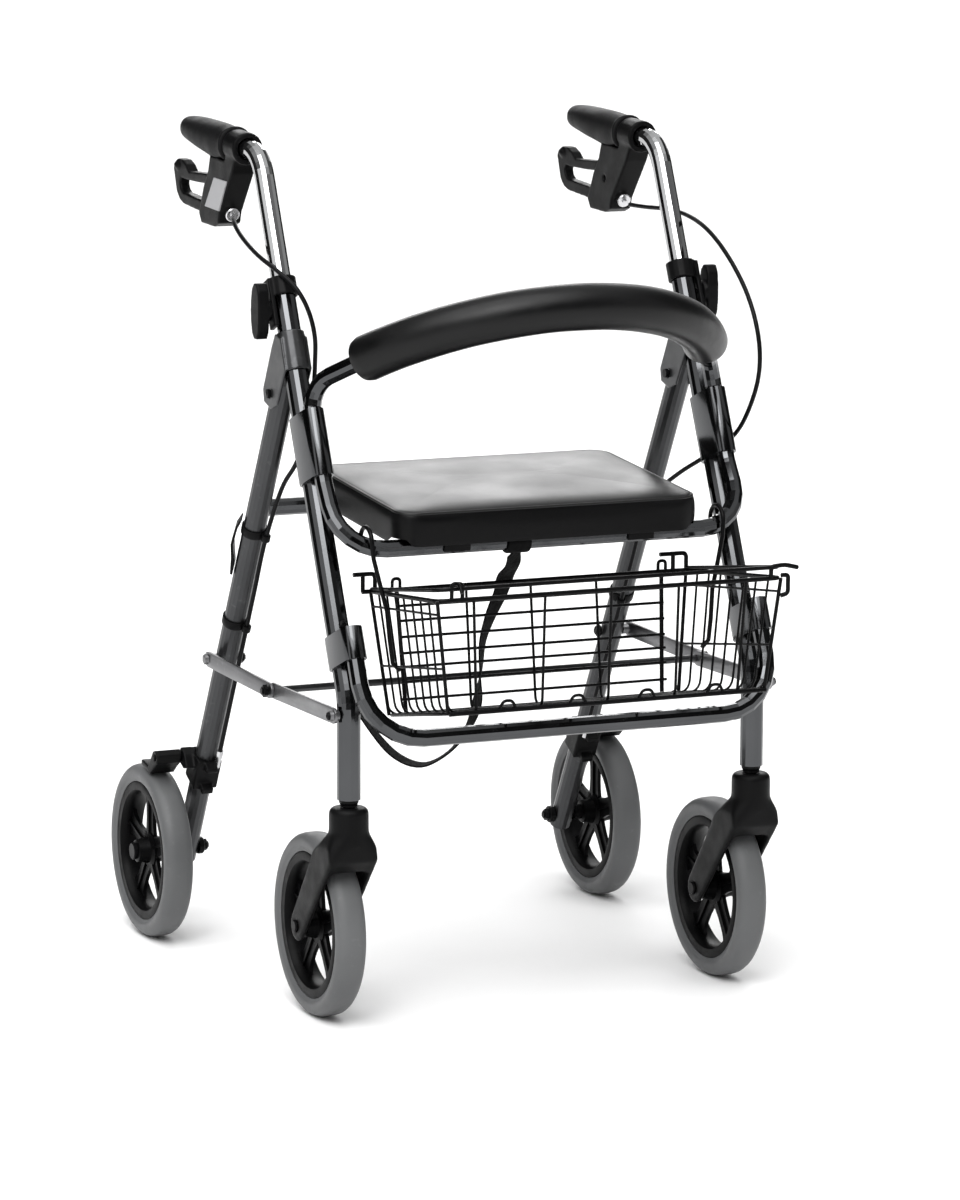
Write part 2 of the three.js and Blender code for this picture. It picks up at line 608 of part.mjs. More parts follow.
// ---- Seat ---------------------------------------------------------------------------------
// The seat is drawn along its own surface: u runs rearwards from the seat bar's axis, w up.
const SEAT_BACK = at(0, Math.cos(SEAT_TILT), Math.sin(SEAT_TILT));
const SEAT_UP = at(0, -Math.sin(SEAT_TILT), Math.cos(SEAT_TILT));
const seatPlate = (outline, w0, w1) => plate(outline, w0, w1, X, SEAT_BACK, SEAT_BAR);
const seatSlab = (outline, x0, x1) => plate(outline, x0, x1, SEAT_BACK, SEAT_UP, SEAT_BAR);
const BOARD_LOW = LOOP_R + 0.9;
const BOARD_HIGH = BOARD_LOW + 4;
const PAD_HIGH = 45;
const SKIRT_LOW = 3; // the cushion's rim hangs down round the board and before the bar
const CLIP_R = 12.2;
{
  const outline = roundedRect(-SEAT_HALF, SEAT_HALF, SEAT_FRONT, SEAT_REAR, 23, 5);
  const low = SKIRT_LOW - 5;
  const ceiling = BOARD_HIGH + GAP;
  const front = -CLIP_R - 0.6;
  const boardRoom = seatPlate(roundedRect(-163, 163, front, 223, 12), low, ceiling);
  const barRoom = seatSlab([[front, low], [LOOP_R + 1, low], [LOOP_R + 1, LOOP_R + 1],
    [front, LOOP_R + 1]], -200, 200);
  const restRooms = [-120, 120].map((x) => seatSlab([[205, low], [260, low], [260, ceiling],
    [205, ceiling]], x - 17, x + 17));
  const body = seatPlate(outline, SKIRT_LOW, PAD_HIGH);
  add('seat_pad', cut(body, boardRoom, barRoom, ...restRooms), 'vinyl');
}
{
  const board = seatPlate(roundedRect(-162, 162, -4, 222, 20), BOARD_LOW, BOARD_HIGH);
  const clips = [-108, 108].map((x) => {
    const ring = seatSlab(circle(CLIP_R, 16), x - 15, x + 15);
    return join(ring, seatSlab([[-12, 0], [12, 0], [12, BOARD_HIGH - 0.5],
      [-12, BOARD_HIGH - 0.5]], x - 15, x + 15));
  });
  const barRoom = pin(SEAT_BAR, X, LOOP_R + 0.6, -150, 150, 24);
  const clipOpening = seatSlab([[-14, -14], [14, -14], [14, -5], [-14, -5]], -150, 150);
  const drop = REAR_BAR.clone().sub(SEAT_BAR);
  const barTop = drop.dot(SEAT_UP) + LOOP_R + GAP + 0.3;
  const barBack = drop.dot(SEAT_BACK);
  const rests = [-120, 120].map((x) => {
    const tongue = seatSlab([[210, BOARD_LOW], [barBack + 8, BOARD_LOW],
      [barBack + 8, BOARD_HIGH], [210, BOARD_HIGH]], x - 16, x + 16);
    return join(tongue, seatSlab([[barBack - 7, barTop], [barBack + 8, barTop],
      [barBack + 8, BOARD_LOW + 1], [barBack - 7, BOARD_LOW + 1]], x - 16, x + 16));
  });
  add('seat_board', cut(join(board, ...clips, ...rests), barRoom, clipOpening),
    'black_plastic');
}

// ---- Folding brace --------------------------------------------------------------------------
// A flat bar with rounded ends between two places in a y, z plane, with bosses at its ends.
function flatBar(a, b, x0, x1) {
  const along = Math.atan2(b.z - a.z, b.y - a.y);
  const end = (p, start) =>
    Array.from({ length: 7 }, (_, i) => {
      const angle = along + rad(start + 30 * i);
      return [p.y + BRACE_HALF * Math.cos(angle), p.z + BRACE_HALF * Math.sin(angle)];
    });
  return slab([...end(b, -90), ...end(a, 90)], x0, x1);
}
const BAR_THICK = 3;
const FRONT_BAR_X = LEG_X + LEG_R + 4;
const REAR_BAR_X = FRONT_BAR_X + BAR_THICK + 0.6;
{
  const legFace = LEG_R + GAP;
  const bolt = at(LEG_X, BRACE_FRONT.y, BRACE_FRONT.z);
  const boss = pin(bolt, X, 6, legFace, FRONT_BAR_X - LEG_X + 1);
  const head = pin(bolt, X, 6, FRONT_BAR_X - LEG_X + 1, FRONT_BAR_X - LEG_X + 7, 6);
  const bar = flatBar(BRACE_FRONT, BRACE_MIDDLE, FRONT_BAR_X, FRONT_BAR_X + BAR_THICK);
  addPair('brace_front', join(bar, boss, head), 'brace_steel');
  const rearBoss = pin(BRACE_REAR, X, 6, legFace, REAR_BAR_X - LEG_X + 1);
  const rearHead = pin(BRACE_REAR, X, 6, REAR_BAR_X - LEG_X + 1, REAR_BAR_X - LEG_X + 7, 6);
  const rearBar = flatBar(BRACE_REAR, BRACE_MIDDLE, REAR_BAR_X, REAR_BAR_X + BAR_THICK);
  addPair('brace_rear', join(rearBar, rearBoss, rearHead), 'brace_steel');
  const reach = FRONT_BAR_X - GAP;
  const ends = [-reach, reach].map((x) => at(x, BRACE_MIDDLE.y, BRACE_MIDDLE.z));
  add('cross_rod', tube(ends, 4, 10), 'satin_frame');
}

// ---- Rear brakes ----------------------------------------------------------------------------
const SHOE_PIVOT = at(0, 243, 219);
const SHOE_PIN_R = 3;
const SHOE_FROM = 266;
const SHOE_TO = 296;
{
  const middle = rearLegAt(204);
  const along = (outline, x0, x1) =>
    plate(outline, x0, x1, BEHIND_REAR, UP_REAR, at(0, middle.y, middle.z));
  const wrap = along([[-15, -20], [14.6, -20], [14.6, 20], [-15, 20]],
    LEG_X - 14.6, LEG_X + 14.6);
  const lugs = [
    [[-26, 12], [-14.2, 9], [-14.2, 20], [-26, 17]],
    [[-24, -20], [-14.2, -20], [-14.2, -11], [-24, -13]],
  ].map((outline) => along(outline, LEG_X - 7, LEG_X + 7));
  const ear = slab([[236, 205], [252, 212], [253, 222], [243, 229], [233, 222], [226, 208]],
    LEG_X + 14, SHOE_FROM - 1.5);
  const legBore = tube([rearLegAt(170), rearLegAt(240)], LEG_R + 0.4, 16);
  const pivot = pin(SHOE_PIVOT, X, SHOE_PIN_R, LEG_X + 20, SHOE_TO + 2, 10);
  addPair('brake_bracket', join(cut(join(wrap, ...lugs, ear), legBore), pivot),
    'black_plastic');
}
{
  const outline = [
    ...arc(REAR_AXLE_Y, WHEEL_R, WHEEL_R + 2.2, 4, 20, 5),
    [250, 205], [237, 213], [235, 222], [242, 227], [251, 225],
    ...arc(REAR_AXLE_Y, WHEEL_R, WHEEL_R + 9, 16, 4, 4),
  ];
  const hole = pin(SHOE_PIVOT, X, SHOE_PIN_R + 0.5, SHOE_FROM - 5, SHOE_TO + 5);
  addPair('brake_shoe', cut(slab(outline, SHOE_FROM, SHOE_TO), hole), 'black_plastic');
}

// ---- Brake cables ---------------------------------------------------------------------------
const smooth = (points, count) => new THREE.CatmullRomCurve3(points).getSpacedPoints(count);
const besideRearLeg = (z) => rearLegAt(z).addScaledVector(BEHIND_REAR, -17).setX(230);
const cableEnd = [500, 440, 380, 320, 262, 232].map(besideRearLeg);
const leftCable = [
  at(241, 131, 840), at(246, 100, 840), at(253, 58, 841), at(256, 12, 838), at(257, -36, 827),
  at(258, -82, 805), at(260, -122, 774), at(261, -148, 742), at(262, -160, 708),
  at(262, -158, 676), at(260, -144, 644), at(259, -118, 614), at(257, -84, 592),
  at(250, -46, 572), at(240, -6, 550), at(233, 34, 524), ...cableEnd,
];
const rightCable = [
  at(240, 131, 840), at(250, 100, 836), at(256, 66, 828), at(257, 34, 818), at(255, 6, 809),
  at(246, -21, 797), at(233, -38, 781), at(223, -48, 758), at(217, -52, 730), at(216, -50, 700),
  at(216, -46, 672), at(216, -40, 645), at(218, -28, 614), at(222, -6, 584), at(227, 22, 554),
  ...cableEnd,
];
const toRight = (p) => at(-p.x, p.y, p.z);
add('brake_cable_left', tube(smooth(leftCable, 36), CABLE_R, 6), 'cable_sheath');
add('brake_cable_right', tube(smooth(rightCable.map(toRight), 36), CABLE_R, 6),
  'cable_sheath');

// ---- Basket ---------------------------------------------------------------------------------
// Corner places of the tapered basket: half width, y, z.
const BASKET = {
  rimRear: [187, -137, 464],
  rimFront: [198, -345, 487],
  baseRear: [172, -153, 331],
  baseFront: [183, -339, 367],
};
const BASKET_WALL = 4;

function boxOf(rimRear, rimFront, baseRear, baseFront) {
  const eight = [baseRear, baseFront, rimRear, rimFront].flatMap(([half, y, z]) => [
    [-half, y, z],
    [half, y, z],
  ]);
  const quads = [[0, 1, 3, 2], [4, 6, 7, 5], [0, 2, 6, 4], [1, 5, 7, 3], [0, 4, 5, 1],
    [2, 3, 7, 6]];
  const geometry = new THREE.BufferGeometry();
  geometry.setAttribute('position', new THREE.Float32BufferAttribute(eight.flat(), 3));
  geometry.setIndex(quads.flatMap(([a, b, c, d]) => [a, b, c, a, c, d]));
  return solid(geometry);
}
{
  const { rimRear, rimFront, baseRear, baseFront } = BASKET;
  const inset = ([half, y, z], dy, dz) => [half - BASKET_WALL, y + dy, z + dz];
  const outer = boxOf(rimRear, rimFront, baseRear, baseFront);
  const inner = boxOf(
    inset(rimRear, -BASKET_WALL, 12), inset(rimFront, BASKET_WALL, 12),
    inset(baseRear, -BASKET_WALL, BASKET_WALL), inset(baseFront, BASKET_WALL, BASKET_WALL),
  );
  const hookX = 206.5;
  const hookY = -172.4;
  const hookZ = 523.5;
  const hookR = 16.5;
  const over = Array.from({ length: 9 }, (_, i) => {
    const angle = rad(-20 + (200 * i) / 8);
    return at(hookX, hookY + hookR * Math.cos(angle), hookZ + hookR * Math.sin(angle));
  });
  const wire = [...over, at(204, -189, 505), at(191, -192, 462), at(184, -194, 430)];
  const left = tube(wire, 2.4, 8);
  const right = tube(wire.map(toRight), 2.4, 8);
  add('basket', join(cut(outer, inner), left, right), 'black_steel');
}

// ---- Fold strap -------------------------------------------------------------------------------
{
  const hang = [
    at(-35, -172, 504), at(-31, -158, 488), at(-26, -130, 470), at(-27, -119, 450),
    at(-38, -117, 425), at(-47, -116, 396), at(-49, -116, 362), at(-52, -114, 330),
    at(-62, -110, 300), at(-82, -104, 274), at(-110, -96, 261), at(-136, -80, 272),
    at(-156, -54, 302), at(-166, -36, 326),
  ];
  const section = [
    [-STRAP_THICK / 2, -STRAP_WIDTH / 2], [STRAP_THICK / 2, -STRAP_WIDTH / 2],
    [STRAP_THICK / 2, STRAP_WIDTH / 2], [-STRAP_THICK / 2, STRAP_WIDTH / 2],
  ];
  add('fold_strap', sweep(smooth(hang, 30), section, X), 'webbing');
}

export default rollator;
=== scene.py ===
"""Looks of the rollator walker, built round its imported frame. Lengths below are millimetres on the
frame's own datum (its fold and wheel layout); place() turns them into metres in the row frame."""

import json
import math

import bmesh
import bpy
from mathutils import Matrix, Vector
from mathutils.bvhtree import BVHTree

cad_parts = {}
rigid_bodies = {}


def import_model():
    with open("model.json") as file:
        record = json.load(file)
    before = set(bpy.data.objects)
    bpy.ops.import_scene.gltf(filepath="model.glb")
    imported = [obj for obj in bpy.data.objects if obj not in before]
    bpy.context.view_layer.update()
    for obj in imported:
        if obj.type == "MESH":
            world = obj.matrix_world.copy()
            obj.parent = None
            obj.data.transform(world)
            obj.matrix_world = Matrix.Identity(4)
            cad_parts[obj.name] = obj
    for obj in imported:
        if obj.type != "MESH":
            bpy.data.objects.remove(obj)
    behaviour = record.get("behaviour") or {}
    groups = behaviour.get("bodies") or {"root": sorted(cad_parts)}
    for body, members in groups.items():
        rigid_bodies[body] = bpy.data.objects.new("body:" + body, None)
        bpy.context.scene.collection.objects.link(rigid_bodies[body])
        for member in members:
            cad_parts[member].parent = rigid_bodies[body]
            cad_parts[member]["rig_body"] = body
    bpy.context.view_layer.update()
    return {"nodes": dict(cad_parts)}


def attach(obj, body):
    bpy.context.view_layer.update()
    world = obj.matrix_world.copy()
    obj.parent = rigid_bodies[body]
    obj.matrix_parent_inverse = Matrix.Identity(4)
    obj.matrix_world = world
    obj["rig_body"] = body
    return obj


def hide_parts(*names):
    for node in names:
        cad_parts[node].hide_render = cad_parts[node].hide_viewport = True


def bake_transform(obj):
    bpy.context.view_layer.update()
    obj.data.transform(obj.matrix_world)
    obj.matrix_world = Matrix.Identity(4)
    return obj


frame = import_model()
nodes = frame["nodes"]
scene = bpy.context.scene

MID_LENGTH = 26
SIDES = (("left", 1), ("right", -1))


def place(x, y, z):
    return Vector((x, y - MID_LENGTH, z)) / 1000


def place_all(points):
    return [place(*p) for p in points]


# ---- Camera ------------------------------------------------------------------------------
camera = bpy.data.objects.new("camera", bpy.data.cameras.new("camera"))
scene.collection.objects.link(camera)
LENS, SENSOR = 152.3, 36
CAMERA_AT = place(-2215.25, -5085.37, 1381.65)
CAMERA_RIGHT = Vector((0.91707, -0.39871, 0.0044))
CAMERA_UP = Vector((0.06409, 0.15830, 0.98531))
camera.data.lens = LENS
camera.data.sensor_width = SENSOR
camera.data.clip_end = 200
camera.matrix_world = Matrix.Translation(CAMERA_AT) @ Matrix(
    (CAMERA_RIGHT, CAMERA_UP, CAMERA_RIGHT.cross(CAMERA_UP))
).transposed().to_4x4()
scene.camera = camera

# ---- Studio ------------------------------------------------------------------------------
scene.view_settings.view_transform = "Standard"
TOWARDS_CAMERA = Vector((-0.3994, -0.9168, 0))
RIGHT_OF_CAMERA = Vector((0.9168, -0.3994, 0))
# Studio walls by direction, in degrees right of the key light, and how bright each stands.
WALLS = [
    (-180, 0.85), (-166, 0.7), (-158, 0.03), (-66, 0.03), (-60, 1.3), (-46, 1.3), (-41, 0.04),
    (-27, 0.04), (-22, 1.6), (-8, 1.6), (-3, 0.03), (58, 0.03), (66, 0.5), (100, 0.5),
    (108, 0.04), (150, 0.04), (158, 0.85), (180, 0.85),
]
BRIGHTEST_WALL = max(level for _, level in WALLS)
CEILING = 0.55
BACKGROUND = 0.98
WORLD_STRENGTH = 0.9


def studio_world():
    world = bpy.data.worlds.new("studio")
    scene.world = world
    world.use_nodes = True
    tree = world.node_tree
    tree.nodes.clear()

    def node(kind, **inputs):
        made = tree.nodes.new(kind)
        for key, value in inputs.items():
            made.inputs[int(key[1:])].default_value = value
        return made

    def math_node(operation, a, b=None):
        made = tree.nodes.new("ShaderNodeMath")
        made.operation = operation
        for i, value in enumerate((a, b)):
            if value is None:
                continue
            if isinstance(value, (int, float)):
                made.inputs[i].default_value = value
            else:
                tree.links.new(value, made.inputs[i])
        return made.outputs[0]

    coordinates = node("ShaderNodeTexCoord")

    def along(direction):
        made = tree.nodes.new("ShaderNodeVectorMath")
        made.operation = "DOT_PRODUCT"
        tree.links.new(coordinates.outputs["Generated"], made.inputs[0])
        made.inputs[1].default_value = direction
        return made.outputs["Value"]

    turn = math_node("ARCTAN2", along(RIGHT_OF_CAMERA), along(TOWARDS_CAMERA))
    share = math_node("ADD", math_node("DIVIDE", turn, 2 * math.pi), 0.5)
    ramp = node("ShaderNodeValToRGB")
    tree.links.new(share, ramp.inputs[0])
    stops = ramp.color_ramp.elements
    while len(stops) > 1:
        stops.remove(stops[-1])
    for i, (angle, level) in enumerate(WALLS):
        position = (angle + 180) / 360
        stop = stops[0] if i == 0 else stops.new(position)
        stop.position = position
        stop.color = (*[level / BRIGHTEST_WALL] * 3, 1)
    height = along(Vector((0, 0, 1)))
    ceiling = tree.nodes.new("ShaderNodeMapRange")
    ceiling.inputs[1].default_value = 0.55
    ceiling.inputs[2].default_value = 0.85
    tree.links.new(height, ceiling.inputs[0])
    mix = tree.nodes.new("ShaderNodeMix")
    mix.data_type = "RGBA"
    tree.links.new(ceiling.outputs[0], mix.inputs[0])
    tree.links.new(ramp.outputs[0], mix.inputs[6])
    mix.inputs[7].default_value = (CEILING, CEILING, CEILING, 1)
    walls = node("ShaderNodeBackground", _1=WORLD_STRENGTH * BRIGHTEST_WALL)
    tree.links.new(mix.outputs[2], walls.inputs[0])
    plain = node("ShaderNodeBackground", _0=(*[BACKGROUND] * 3, 1), _1=1.0)
    path = node("ShaderNodeLightPath")
    shader = node("ShaderNodeMixShader")
    tree.links.new(path.outputs["Is Camera Ray"], shader.inputs[0])
    tree.links.new(walls.outputs[0], shader.inputs[1])
    tree.links.new(plain.outputs[0], shader.inputs[2])
    output = node("ShaderNodeOutputWorld")
    tree.links.new(shader.outputs[0], output.inputs[0])


studio_world()


def softbox(name, position, target, size, power):
    light = bpy.data.lights.new(name, "AREA")
    light.shape = "RECTANGLE"
    light.size, light.size_y = size
    light.energy = power
    lamp = bpy.data.objects.new(name, light)
    scene.collection.objects.link(lamp)
    lamp.location = position
    lamp.rotation_euler = (target - lamp.location).to_track_quat("-Z", "Y").to_euler()


softbox("key", Vector((-1.6, -2.6, 3.6)), Vector((0, 0, 0.4)), (1.8, 1.8), 50)
softbox("rim", Vector((1.6, 4.2, 2.4)), Vector((0, 0, 0.5)), (2.6, 1.4), 45)
sky = bpy.data.objects.new("sky", bpy.data.lights.new("sky", "SUN"))
sky.data.energy = 2.9
sky.data.angle = math.radians(70)
sky.rotation_euler = Vector((0.35, 0.45, -1)).to_track_quat("-Z", "Y").to_euler()
scene.collection.objects.link(sky)

# ---- Materials ---------------------------------------------------------------------------


def finish(name, color, rough, metallic=0.0, spread=0.12, grain=0.0, grain_scale=900.0,
           blotch=14.0, worn=0.0, **sockets):
    """A surface whose tone and roughness drift a little over it, with a fine grain in relief."""
    material = bpy.data.materials.new(name)
    material.use_nodes = True
    tree = material.node_tree
    shader = tree.nodes["Principled BSDF"]
    shader.inputs["Metallic"].default_value = metallic
    for key, value in sockets.items():
        shader.inputs[key.replace("_", " ")].default_value = value
    coordinates = tree.nodes.new("ShaderNodeTexCoord")

    def noise(scale, detail):
        made = tree.nodes.new("ShaderNodeTexNoise")
        made.inputs["Scale"].default_value = scale
        made.inputs["Detail"].default_value = detail
        tree.links.new(coordinates.outputs["Object"], made.inputs["Vector"])
        return made.outputs["Fac"]

    def ramp(source, low, high, start=0.3, end=0.7):
        made = tree.nodes.new("ShaderNodeMapRange")
        tree.links.new(source, made.inputs["Value"])
        made.inputs["From Min"].default_value = start
        made.inputs["From Max"].default_value = end
        made.inputs["To Min"].default_value = low
        made.inputs["To Max"].default_value = high
        return made.outputs["Result"]

    def mix(factor, a, b):
        made = tree.nodes.new("ShaderNodeMix")
        made.data_type = "RGBA"
        tree.links.new(factor, made.inputs[0])
        for socket, value in ((made.inputs[6], a), (made.inputs[7], b)):
            if isinstance(value, bpy.types.NodeSocket):
                tree.links.new(value, socket)
            else:
                socket.default_value = (*value, 1)
        return made.outputs[2]

    drift = noise(blotch, 3)
    darker = [c * (1 - spread) for c in color]
    lighter = [min(1, c * (1 + spread)) for c in color]
    tone = mix(ramp(drift, 0, 1), darker, lighter)
    if worn:
        scuffs = noise(blotch * 9, 8)
        tone = mix(ramp(scuffs, 0, worn, 0.62, 0.75), tone, [min(1, c * 2 + 0.04) for c in color])
    tree.links.new(tone, shader.inputs["Base Color"])
    tree.links.new(ramp(noise(blotch * 4, 4), rough * 0.85, rough * 1.15),
                   shader.inputs["Roughness"])
    if grain:
        bump = tree.nodes.new("ShaderNodeBump")
        bump.inputs["Strength"].default_value = grain
        bump.inputs["Distance"].default_value = 0.0004
        tree.links.new(noise(grain_scale, 4), bump.inputs["Height"])
        tree.links.new(bump.outputs[0], shader.inputs["Normal"])
    return material


CHROME = finish("polished_tube", (0.46, 0.465, 0.47), 0.08, 1.0, 0.04, 0.03, 260)
GLOSS = finish("gloss_tube", (0.075, 0.077, 0.08), 0.14, 1.0, 0.08, 0.04, 300)
SATIN = finish("satin_tube", (0.058, 0.059, 0.061), 0.36, 0.9, 0.10, 0.15, 700, worn=0.2)
PLATED = finish("plated_steel", (0.19, 0.19, 0.195), 0.38, 1.0, 0.15, 0.1, 800, worn=0.25)
BRIGHT = finish("bright_steel", (0.62, 0.62, 0.63), 0.24, 1.0, 0.1, 0.05, 500)
LOW = {"Specular_IOR_Level": 0.09}
BLACK_STEEL = finish("black_steel", (0.003, 0.003, 0.0033), 0.36, 0.0, 0.2, 0.2, 900, **LOW)
WIRE = finish("wire_coating", (0.002, 0.002, 0.0022), 0.3, 0.0, 0.2, 0.15, 700, **LOW)
PLASTIC = finish("black_plastic", (0.0028, 0.0028, 0.003), 0.42, 0.0, 0.25, 0.35, 1400, **LOW)
HUB_PLASTIC = finish("hub_plastic", (0.0012, 0.0012, 0.0014), 0.4, 0.0, 0.25, 0.2, 1200,
                     Specular_IOR_Level=0.08)
RUBBER = finish("grip_rubber", (0.006, 0.006, 0.0063), 0.5, 0.0, 0.2, 0.5, 1700, **LOW)
FOAM = finish("foam_skin", (0.0022, 0.0022, 0.0024), 0.34, 0.0, 0.18, 0.35, 1100,
              Specular_IOR_Level=0.24)
TYRE = finish("grey_tyre", (0.098, 0.100, 0.102), 0.46, 0.0, 0.10, 0.3, 900, worn=0.12,
              Specular_IOR_Level=0.3)
CABLE = finish("cable_sheath", (0.005, 0.005, 0.0055), 0.3, 0.0, 0.2, 0.1, 500, **LOW)
PANEL = finish("blank_panel", (0.30, 0.30, 0.31), 0.4, 0.0, 0.05, 0.05, 400)


def leather(name, color, rough, gloss):
    """Vinyl with a pebbled leather grain in relief."""
    material = finish(name, color, rough, 0.0, 0.12, 0.0, blotch=3, Specular_IOR_Level=gloss)
    tree = material.node_tree
    shader = tree.nodes["Principled BSDF"]
    coordinates = tree.nodes["Texture Coordinate"]
    pebbles = tree.nodes.new("ShaderNodeTexVoronoi")
    pebbles.feature = "DISTANCE_TO_EDGE"
    pebbles.inputs["Scale"].default_value = 520
    creases = tree.nodes.new("ShaderNodeTexNoise")
    creases.inputs["Scale"].default_value = 40
    creases.inputs["Detail"].default_value = 5
    for texture in (pebbles, creases):
        tree.links.new(coordinates.outputs["Object"], texture.inputs["Vector"])
    fine = tree.nodes.new("ShaderNodeBump")
    fine.inputs["Strength"].default_value = 0.3
    fine.inputs["Distance"].default_value = 0.0004
    tree.links.new(pebbles.outputs["Distance"], fine.inputs["Height"])
    broad = tree.nodes.new("ShaderNodeBump")
    broad.inputs["Strength"].default_value = 0.02
    broad.inputs["Distance"].default_value = 0.002
    tree.links.new(creases.outputs["Fac"], broad.inputs["Height"])
    tree.links.new(fine.outputs[0], broad.inputs["Normal"])
    tree.links.new(broad.outputs[0], shader.inputs["Normal"])
    return material


VINYL = leather("seat_vinyl", (0.0026, 0.0026, 0.0028), 0.36, 0.42)
# A darker, duller copy of the seat vinyl for the cushion's sides: painted shade.
PAINTED_SHADE_SIDE_VINYL = leather("seat_side_painted_shade_vinyl", (0.0022, 0.0022, 0.0024), 0.4, 0.12)


def webbing(name, color):
    """Woven band: diagonal ribs across its width, from the mesh's own UV map."""
    material = finish(name, color, 0.75, 0.0, 0.15, 0.0, blotch=60, **LOW)
    tree = material.node_tree
    shader = tree.nodes["Principled BSDF"]
    uv = tree.nodes.new("ShaderNodeUVMap")
    ribs = tree.nodes.new("ShaderNodeTexWave")
    ribs.wave_type = "BANDS"
    ribs.bands_direction = "DIAGONAL"
    ribs.inputs["Scale"].default_value = 260
    tree.links.new(uv.outputs["UV"], ribs.inputs["Vector"])
    bump = tree.nodes.new("ShaderNodeBump")
    bump.inputs["Strength"].default_value = 0.6
    bump.inputs["Distance"].default_value = 0.0006
    tree.links.new(ribs.outputs["Fac"], bump.inputs["Height"])
    tree.links.new(bump.outputs[0], shader.inputs["Normal"])
    return material


WEBBING = webbing("strap_webbing", (0.0025, 0.0025, 0.0027))

# ---- Mesh making -------------------------------------------------------------------------


def smooth_shade(piece, angle=35):
    mesh = piece.data
    mesh.polygons.foreach_set("use_smooth", [True] * len(mesh.polygons))
    bm = bmesh.new()
    bm.from_mesh(mesh)
    limit = math.radians(angle)
    for edge in bm.edges:
        if len(edge.link_faces) == 2:
            edge.smooth = edge.calc_face_angle(0) < limit
    bm.to_mesh(mesh)
    bm.free()
    return piece


def in_metres(pairs):
    """Pairs of millimetres as pairs of metres."""
    return [(a / 1000, b / 1000) for a, b in pairs]


def new_piece(name, mesh, body, material):
    piece = bpy.data.objects.new(name, mesh)
    scene.collection.objects.link(piece)
    piece.data.materials.clear()
    piece.data.materials.append(material)
    if body:
        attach(piece, body)
    return piece


def from_bmesh(name, bm, body, material, angle=35):
    bmesh.ops.remove_doubles(bm, verts=bm.verts, dist=1e-6)
    bmesh.ops.recalc_face_normals(bm, faces=bm.faces)
    mesh = bpy.data.meshes.new(name)
    bm.to_mesh(mesh)
    bm.free()
    return smooth_shade(new_piece(name, mesh, body, material), angle)


def frames_along(path, closed):
    """A right and an up direction at each point, carried along without twist."""
    count = len(path)
    tangents = []
    for i in range(count):
        before = path[i - 1] if i or closed else path[i]
        after = path[(i + 1) % count] if i < count - 1 or closed else path[i]
        tangents.append((after - before).normalized())
    first = Vector((0, 0, 1)) if abs(tangents[0].z) < 0.9 else Vector((1, 0, 0))
    side = tangents[0].cross(first).normalized()
    made = []
    for i, tangent in enumerate(tangents):
        if i:
            side = tangents[i - 1].rotation_difference(tangent) @ side
        side = (side - tangent * side.dot(tangent)).normalized()
        made.append((side, tangent.cross(side)))
    return made


def add_tube(bm, path, radius, sides=12, closed=False):
    """A tube along path, with one radius, or one for each point."""
    radii = radius if hasattr(radius, "__len__") else [radius] * len(path)
    rings = []
    for point, (across, upward), r in zip(path, frames_along(path, closed), radii):
        ring = []
        for k in range(sides):
            angle = 2 * math.pi * k / sides
            a, b = (r * math.cos(angle), r * math.sin(angle))
            ring.append(bm.verts.new(point + across * a + upward * b))
        rings.append(ring)
    pairs = list(zip(rings, rings[1:])) + ([(rings[-1], rings[0])] if closed else [])
    for low, high in pairs:
        for k in range(sides):
            bm.faces.new((low[k], low[(k + 1) % sides], high[(k + 1) % sides], high[k]))
    if not closed:
        bm.faces.new(list(reversed(rings[0])))
        bm.faces.new(rings[-1])


def add_turned(bm, profile, centre, axis, segments=48):
    """A profile of (radius, height) pairs turned round an axis, in metres."""
    turn = Vector((0, 0, 1)).rotation_difference(axis)
    rings = []
    for r, h in profile:
        if r < 1e-7:
            rings.append([bm.verts.new(centre + turn @ Vector((0, 0, h)))])
            continue
        rings.append([
            bm.verts.new(centre + turn @ Vector((
                r * math.cos(2 * math.pi * k / segments),
                r * math.sin(2 * math.pi * k / segments), h)))
            for k in range(segments)
        ])
    for low, high in zip(rings, rings[1:]):
        for k in range(segments):
            n = (k + 1) % segments
            corners = [low[k % len(low)], low[n % len(low)], high[n % len(high)],
                       high[k % len(high)]]
            unique = list(dict.fromkeys(corners))
            if len(unique) > 2:
                bm.faces.new(unique)


def add_plate(bm, outline, from_depth, to_depth, origin, first, second):
    """A closed outline of (a, b) pairs made thick along first x second, in metres."""
    through = first.cross(second)
    faces = []
    for depth in (from_depth, to_depth):
        faces.append([bm.verts.new(origin + first * a + second * b + through * depth)
                      for a, b in outline])
    low, high = faces
    count = len(outline)
    bm.faces.new(list(reversed(low)))
    bm.faces.new(high)
    for k in range(count):
        n = (k + 1) % count
        bm.faces.new((low[k], low[n], high[n], high[k]))


def bevelled(piece, width, segments=2, angle=30):
    modifier = piece.modifiers.new("bevel", "BEVEL")
    modifier.width = width / 1000
    modifier.segments = segments
    modifier.limit_method = "ANGLE"
    modifier.angle_limit = math.radians(angle)
    modifier.use_clamp_overlap = True
    return applied(piece)


def applied(piece):
    """Every modifier on the piece turned into its mesh."""
    graph = bpy.context.evaluated_depsgraph_get()
    made = bpy.data.meshes.new_from_object(piece.evaluated_get(graph))
    piece.modifiers.clear()
    piece.data = made
    return piece


def replica(node, material):
    """A copy of a CAD node that stands for it and can be worked on."""
    source = nodes[node]
    piece = bpy.data.objects.new(node + "_skin", source.data.copy())
    scene.collection.objects.link(piece)
    piece.data.materials.clear()
    piece.data.materials.append(material)
    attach(piece, source["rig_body"])
    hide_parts(node)
    return piece


